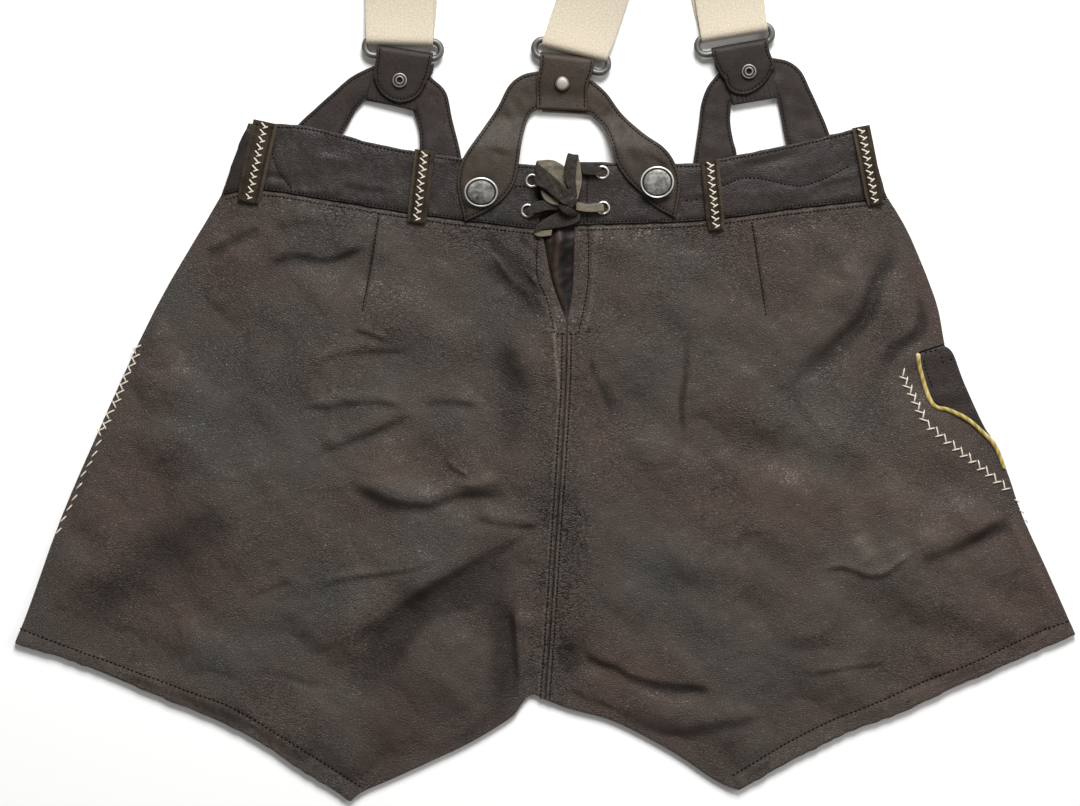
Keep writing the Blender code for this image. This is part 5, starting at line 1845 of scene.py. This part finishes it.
# Straps: cream elastic, each doubled through its ring, crossing on a leather patch behind the shoulders.
strapCut = {
    "wall": 1.3, "round": 0.45, "across": 17, "crown": 0.0, "width": 38.0, "inRing": 37.0, "rowStep": 2.5,
    "rib": 2.3, "ribHeight": 0.05,
}
strapLow, strapOver = 0.75, 5.8
strapLines = {
    "front_left": [
        (-78, 440, strapLow, 0), (-75, 540, strapLow, -3), (-68, 640, strapLow, -3), (-63, 704, strapLow, 11),
        (-62.2, 713, 1.3, 12), (-62, 716, 3.3, 12), (-61.2, 713, 5.3, 13), (-58, 704, strapOver, 15),
        (-44, 684, 4.2, 24), (-31, 662, 2.9, 31), (-18, 640, strapLow, 31), (20, 577, strapLow, 31),
    ],
    "front_right": [
        (96, 440, strapLow, 2), (106, 520, strapLow, -10), (119, 590, strapLow, -8),
        (123.5, 640, strapLow, -4), (126, 704, strapLow, -10), (126.4, 713, 1.3, -11),
        (126.4, 716, 3.3, -11), (126, 713, 5.3, -12),
        (123.5, 704, strapOver, -14), (113, 684, 4.2, -21), (97, 650, 2.9, -25), (84, 622, 2.7, -25),
        (73.5, 600, strapLow, -25), (63, 577, strapLow, -25),
    ],
    "back": [
        (33, 432, strapLow, -14), (39, 465, strapLow, -6), (42, 505, strapLow, 0), (42, 556, strapLow, 0),
    ],
}
strapNodes = {"front_left": "strap_left", "back": "strap_back", "front_right": "strap_right"}
patchOutline = loopOf(
    [(66, 536)],
    [(76, 570), (88, 596)],
    [(42, 606), (-6, 596)],
    [(8, 570), (18, 536)],
)
patchCut = {
    "step": 2.0, "underStep": 4.0, "edgeStep": 1.6, "round": 0.5, "wall": 1.4, "floor": 1.7, "sewInset": 1.8,
}
patchSeam = insetLine(patchOutline, patchCut["edgeStep"], patchCut["sewInset"])


def strapRows(name):
    x, y, tilt = hangers[name]["ring"]
    shift, turn, lean, peek = hangers[name]["webbing"]
    up = upOf(tilt)
    foot = np.array((x, y)) + shift * np.array((up[1], -up[0]))
    away, back = upOf(lean), np.array((peek, 0.0))
    wrap = rowsRoundWire(*foot, turn, 1, strapCut["wall"], strapCut["inRing"])
    low = wrap[0][2]
    over = low + strapCut["wall"] + layerGap
    width = strapCut["width"]
    start = [(*(foot + reach * away + back), low, lean, width) for reach in (52, 38, 24)]
    settle = [(*(foot + 16 * away), low + 3.2, 0.5 * (turn + lean), width - 0.4)]
    settle += [(*(foot + reach * away), over, lean, width) for reach in (28, 42, 56)]
    tail = [(*values, width) for values in strapLines[name]]
    return [*start, *wrap, *settle, *tail]


def strapStrip(name):
    strip = layStrip(strapRows(name), strapCut["rowStep"], -1)
    strip["centre"][:, 2] = np.maximum(strip["centre"][:, 2], strapLow - 0.05)
    return strip


def patchTop(xy):
    row = farFrom(xy, patchSeam)
    # painted shade along the sewn row
    tone = 0.4 * softWaves(xy, 131, 12, 0.5) - 0.9 * bell(row, 0.9)
    return patchCut["floor"] + patchCut["wall"] - 0.25 * bell(row, 0.75), tone


def addStraps():
    for name in hangers:
        strip = strapStrip(name)
        piece = stripPiece(
            f"webbing_{name}", strip, strapCut, "webbing", "webbing", [strapNodes[name]],
            lambda across, along: strapCut["ribHeight"] * np.cos(across * 2 * math.pi / strapCut["rib"]),
        )
    patch = cutPiece(
        "cross_patch", patchOutline, patchTop, patchCut, "strap leather", "strap_leather", ["strap_junction"]
    )
    layFlat(patch)
    rows = sewRow(patchSeam, fineSew, lambda xy: patchTop(xy)[0], 132, False)
    threadPiece("seams_cross_patch", rows, fineSew["thread"], "strap thread", "strap_leather")


addHangers()
addButtons()
addStraps()
print("suspenders are on")


# Lacing: a flat thong through four eyelets, tied in a bow.
eyelets = {
    "upper_left": (-7, 285.5), "lower_left": (-9.5, 269),
    "upper_right": (31.5, 290), "lower_right": (32, 270.5),
}
eyeletProfile = [
    (2.5, 0.5), (2.6, 1.0), (2.95, 1.25), (3.4, 1.2), (3.8, 0.9), (4.0, 0.45), (4.0, 0.0), (2.5, 0.0),
    (2.5, 0.5),
]
thongCut = {"wall": 1.1, "round": 0.4, "across": 9, "crown": 0.1, "rowStep": 0.5}
laceRows = {  # (x, y, z, turn, width); face 1 shows the grain side where it runs to +x
    "lace_strand_left": (1, [
        (-9.4, 267, 9.9, 125, 4.2), (-7.2, 269.4, 10.6, 112, 5.4), (-3.5, 270.9, 11.3, 98, 6.4),
        (1.2, 271.6, 11.7, 88, 5.2), (6.8, 270.7, 12, 80, 3.0),
    ]),
    "lace_strand_right": (1, [
        (32, 270.5, 9.9, 90, 4.4), (28.5, 270.6, 10.7, 90, 5.0), (23, 270.4, 10.9, 90, 4.6),
        (17.3, 271.4, 11.4, 84, 4.8),
    ]),
    "lace_strand_top": (-1, [
        (30.5, 290.5, 9.9, 90, 5.0), (26, 291.2, 10.6, 96, 5.6), (20.5, 292, 10.6, 100, 6.6),
    ]),
    "lace_loop_tall": (1, [
        (16.4, 275, 12.2, 0, 3.4), (17.7, 284, 11.4, -3, 4.8), (16.8, 292, 11.4, -4, 6.0),
        (15.7, 298, 11.7, -8, 6.0), (15.4, 299.4, 13.2, -8, 5.9), (14.9, 298, 14.8, -6, 6.1),
        (13.7, 291, 15.2, 5, 6.8), (14.2, 284, 15.0, 10, 5.4), (16.2, 276.5, 14.2, 14, 3.2),
    ]),
    "lace_loop_wide": (1, [
        (13.6, 276.5, 12.0, 10, 4.5), (11.9, 282, 11.5, 18, 7.2), (8.2, 287.6, 11.2, 40, 11),
        (2.5, 290.8, 11.3, 64, 12.4), (-3.2, 290.3, 11.8, 82, 12.6), (-4.9, 289.6, 13.3, 85, 12.6),
        (-3.4, 288.0, 15.0, 79, 11), (1.5, 284.6, 15.4, 60, 8.8), (7, 279.8, 15.5, 52, 8.0),
        (12, 275.6, 15.6, 50, 7.6), (16.2, 272.2, 14.6, 50, 4.6),
    ]),
    "lace_leaf": (-1, [
        (-1.8, 279.4, 12.4, 58, 1.4), (0.2, 276.6, 12.7, 48, 3.0), (3.2, 274.2, 12.9, 56, 3.2),
        (7.6, 272.2, 13, 62, 1.8),
    ]),
}
laceEnd = {
    "rows": [
        (19.0, 265.6, 9.7, 82, 5.0), (16, 265.3, 9.8, 84, 7.8), (10, 264.4, 9.9, 84, 9.2),
        (4, 263.0, 10.0, 80, 8.2), (-0.8, 261.5, 10.3, 74, 6.2), (-3.8, 259.8, 10.7, 70, 5.0),
        (-5.2, 258.6, 10.4, 66, 4.6), (-4.6, 257.3, 9.6, 68, 4.2), (-2.0, 256.4, 9.3, 76, 3.7),
        (3.4, 256.9, 9.3, 80, 3.6),
    ],
    "exit": (17.5, 266.5, 10.5), "diameter": 0.0052,
}
laceKnot = {
    "rows": [
        (7.8, 272.8, 11.6, 30, 3.0), (9.0, 271.6, 13.6, 30, 3.8), (11.2, 269.8, 14.4, 32, 4.8),
        (14, 267.8, 13.4, 30, 5.0), (16, 266.4, 11.2, 26, 4.4),
    ],
    "core": [(0, 2.6), (2.2, 2.3), (3.6, 1.4), (3.9, 0.2), (3.2, -0.8), (0, -1.2)],
    "place": (12, 270.5, 11.2),
}


def addLacing():
    for name, (x, y) in eyelets.items():
        z = bandTop(np.array([(x, y)]))[0] + 0.15
        # its tones paint shade round the rim's outer edge and down its hole
        turnedPiece(
            f"eyelet_rim_{name}", eyeletProfile, (x, y, z), "nickel", "silver", [f"eyelet_{name}"], 0, 48,
            lambda r, z: -0.9 * ramp(r, 3.85, 4.0) - 0.5 * (1 - ramp(r, 2.5, 2.7)),
        )
    for number, (name, (face, rows)) in enumerate(laceRows.items()):
        strip = layStrip(rows, thongCut["rowStep"], face)
        wide = name == "lace_loop_wide"

        def crumple(across, along):
            return softWaves(np.column_stack([across, along]), 140 + number, 8, 0.4 if wide else 0.2)

        cut = {**thongCut, "across": 19} if wide else thongCut
        nodes = [] if name == "lace_leaf" else [name]  # the solids have no leaf
        stripPiece(f"{name}_thong", strip, cut, "thong leather", "thong_leather", nodes, crumple)
    strip = layStrip(laceEnd["rows"], thongCut["rowStep"], -1)
    piece = stripPiece(
        "lace_end", strip, thongCut, "thong leather", "thong_leather", ["lace_end_upper", "lace_end_lower"]
    )
    path = toWorld(evenLine(strip["centre"], 1.0))
    knot = layStrip(laceKnot["rows"], thongCut["rowStep"], 1)
    cut = {**thongCut, "across": 11, "crown": 0.4}
    stripPiece("lace_knot_wrap", knot, cut, "thong leather", "thong_leather", ["lace_knot"])
    turnedPiece("lace_knot_core", laceKnot["core"], laceKnot["place"], "thong leather", "thong_leather")


addLacing()
print("lace is tied")


# Sewing on the panels.
def addPanelSeams():
    hemThreads, seamThreads, waistThreads = [], [], []
    for number, (side, sign) in enumerate((("left", -1), ("right", 1))):
        seat, band = seatHeight(side), bandSurface(side)
        below = middleLine[middleLine[:, 1] < seatCut["openingEnds"][1]]
        line = smoothLine(waists[side], 2)[1:-1]
        hemThreads.append(sewRow(hemRows[side], seamSew, seat, 151 + number))
        seamThreads += [
            sewRow(below + (sign * rowAt["centre"], 0), fineSew, seat, 153 + number, False),
            sewRow(openingRow[side], fineSew, seat, 155 + number),
            sewRow(seatDarts[side], fineSew, seat, 157 + number),
        ]
        waistThreads += [
            sewRow(line - (0, rowAt["belowWaist"]), fineSew, seat, 161 + number, False),
            sewRow(line + (0, rowAt["aboveWaist"]), fineSew, band, 163 + number, False),
            sewRow(bandEdges[side][1:-1] - (0, rowAt["bandEdge"]), fineSew, band, 165 + number, False),
            sewRow(curveRows[side], fineSew, band, 167 + number),
            sewRow(bandEnds[side], fineSew, band, 169 + number),
        ]
    # short rows that hold the ends
    waistThreads.append(sewRow([(76.5, 274.5), (84.7, 275.6)], fineSew, bandSurface("right"), 171))
    waistThreads.append(sewRow([(-17, 282.2), (-8.3, 282.7)], fineSew, bandSurface("left"), 172))
    seamThreads.append(sewRow([(5.5, 201.3), (11.5, 201.2)], fineSew, seatHeight("left"), 173))
    seamThreads.append(sewRow([(12.5, 201.2), (18.2, 201.3)], fineSew, seatHeight("right"), 174))
    threadPiece("seams_hem", np.vstack(hemThreads), seamSew["thread"], "seam thread", "panel_leather")
    threadPiece("seams_seat", np.vstack(seamThreads), fineSew["thread"], "seam thread", "panel_leather")
    threadPiece("seams_waist", np.vstack(waistThreads), fineSew["thread"], "seam thread", "band_leather")


# Off-white feather stitching beside the pocket and along the left side.
pocketFeather = [  # where each upright stroke starts, how it runs and how the level stroke at its foot runs
    (6, (197.6, 182.5), (2.2, -4.6), (-1.1, -5.0), (-1.9, 0.2), (3.3, -1.5)),
    (10, (210.4, 154.0), (4.64, -3.64), (1.1, -5.5), (-2.0, -0.2), (3.0, 1.0)),
]
lowFeather = [
    ((258.4, 110.2), (261.5, 108.8)), ((261.3, 104.4), (263.6, 102.6)), ((264.2, 99.2), (265.8, 97.6)),
]
sideFeather = [  # below sideTurn only the level strokes show
    (-222.2, 195.3), (-222.8, 190.3), (-225, 185.4), (-227.7, 180.4), (-229.4, 175.5), (-231.6, 170.5),
    (-233.2, 165.6), (-237, 159.5), (-238.7, 154), (-241.5, 150.2), (-244.2, 143), (-246.4, 137),
    (-249.2, 131.5), (-252.5, 126), (-254.7, 119.4), (-257.4, 112.8), (-260.2, 107.3), (-263.5, 101.2),
    (-266.2, 94.6),
]


def addFeather():
    draw = np.random.default_rng(191)
    pairs = []
    for count, start, step, upright, back, ahead in pocketFeather:
        for number in range(count):
            top = np.array(start) + number * np.array(step) + draw.uniform(-0.25, 0.25, 2)
            foot = top + upright
            pairs += [(top, foot + (0, -0.3)), (foot + back, foot + ahead)]
    rightStrokes = strokesOn(pairs + lowFeather, seatHeight("right"), feather["pocketThread"])
    pairs = []
    for x, y in sideFeather:
        if y > feather["sideTurn"]:
            pairs += [((x, y), (x - 4.7, y - 2.5)), ((x - 4.9, y - 1.0), (x - 2.9, y - 5.4))]
        else:
            pairs.append(((x, y), (x - 3.4, y - 3.6)))
    leftStrokes = strokesOn(pairs, seatHeight("left"), feather["sideThread"])
    threadPiece("feather_pocket", rightStrokes, feather["pocketThread"], "feather thread", "webbing")
    threadPiece("feather_side", leftStrokes, feather["sideThread"], "feather thread", "webbing")
    rows = [sewRow(row, fineSew, lambda xy: facingTop(xy)[0], 181) for row in facingRows]
    threadPiece("seams_pocket", np.vstack(rows), fineSew["thread"], "seam thread", "panel_leather")


addPanelSeams()
addFeather()
print("sewing is done")


def addTable():
    reach, level = tableSet["reach"], tableSet["level"]
    corners = [(reach * x, reach * y, level) for x, y in ((-1, -1), (1, -1), (1, 1), (-1, 1))]
    mesh = bpy.data.meshes.new("table")
    mesh.from_pydata(toWorld(corners).tolist(), [], [(0, 1, 2, 3)])
    mesh.materials.append(looks["table"])
    table = bpy.data.objects.new("table", mesh)
    bpy.context.scene.collection.objects.link(table)


def addSky():
    world = bpy.data.worlds.new("sky")
    world.use_nodes = True
    background = world.node_tree.nodes["Background"]
    background.inputs["Color"].default_value = tableSet["sky"]
    background.inputs["Strength"].default_value = tableSet["skyStrength"]
    bpy.context.scene.world = world
    bpy.context.scene.view_settings.view_transform = "Standard"


addTable()
addSky()
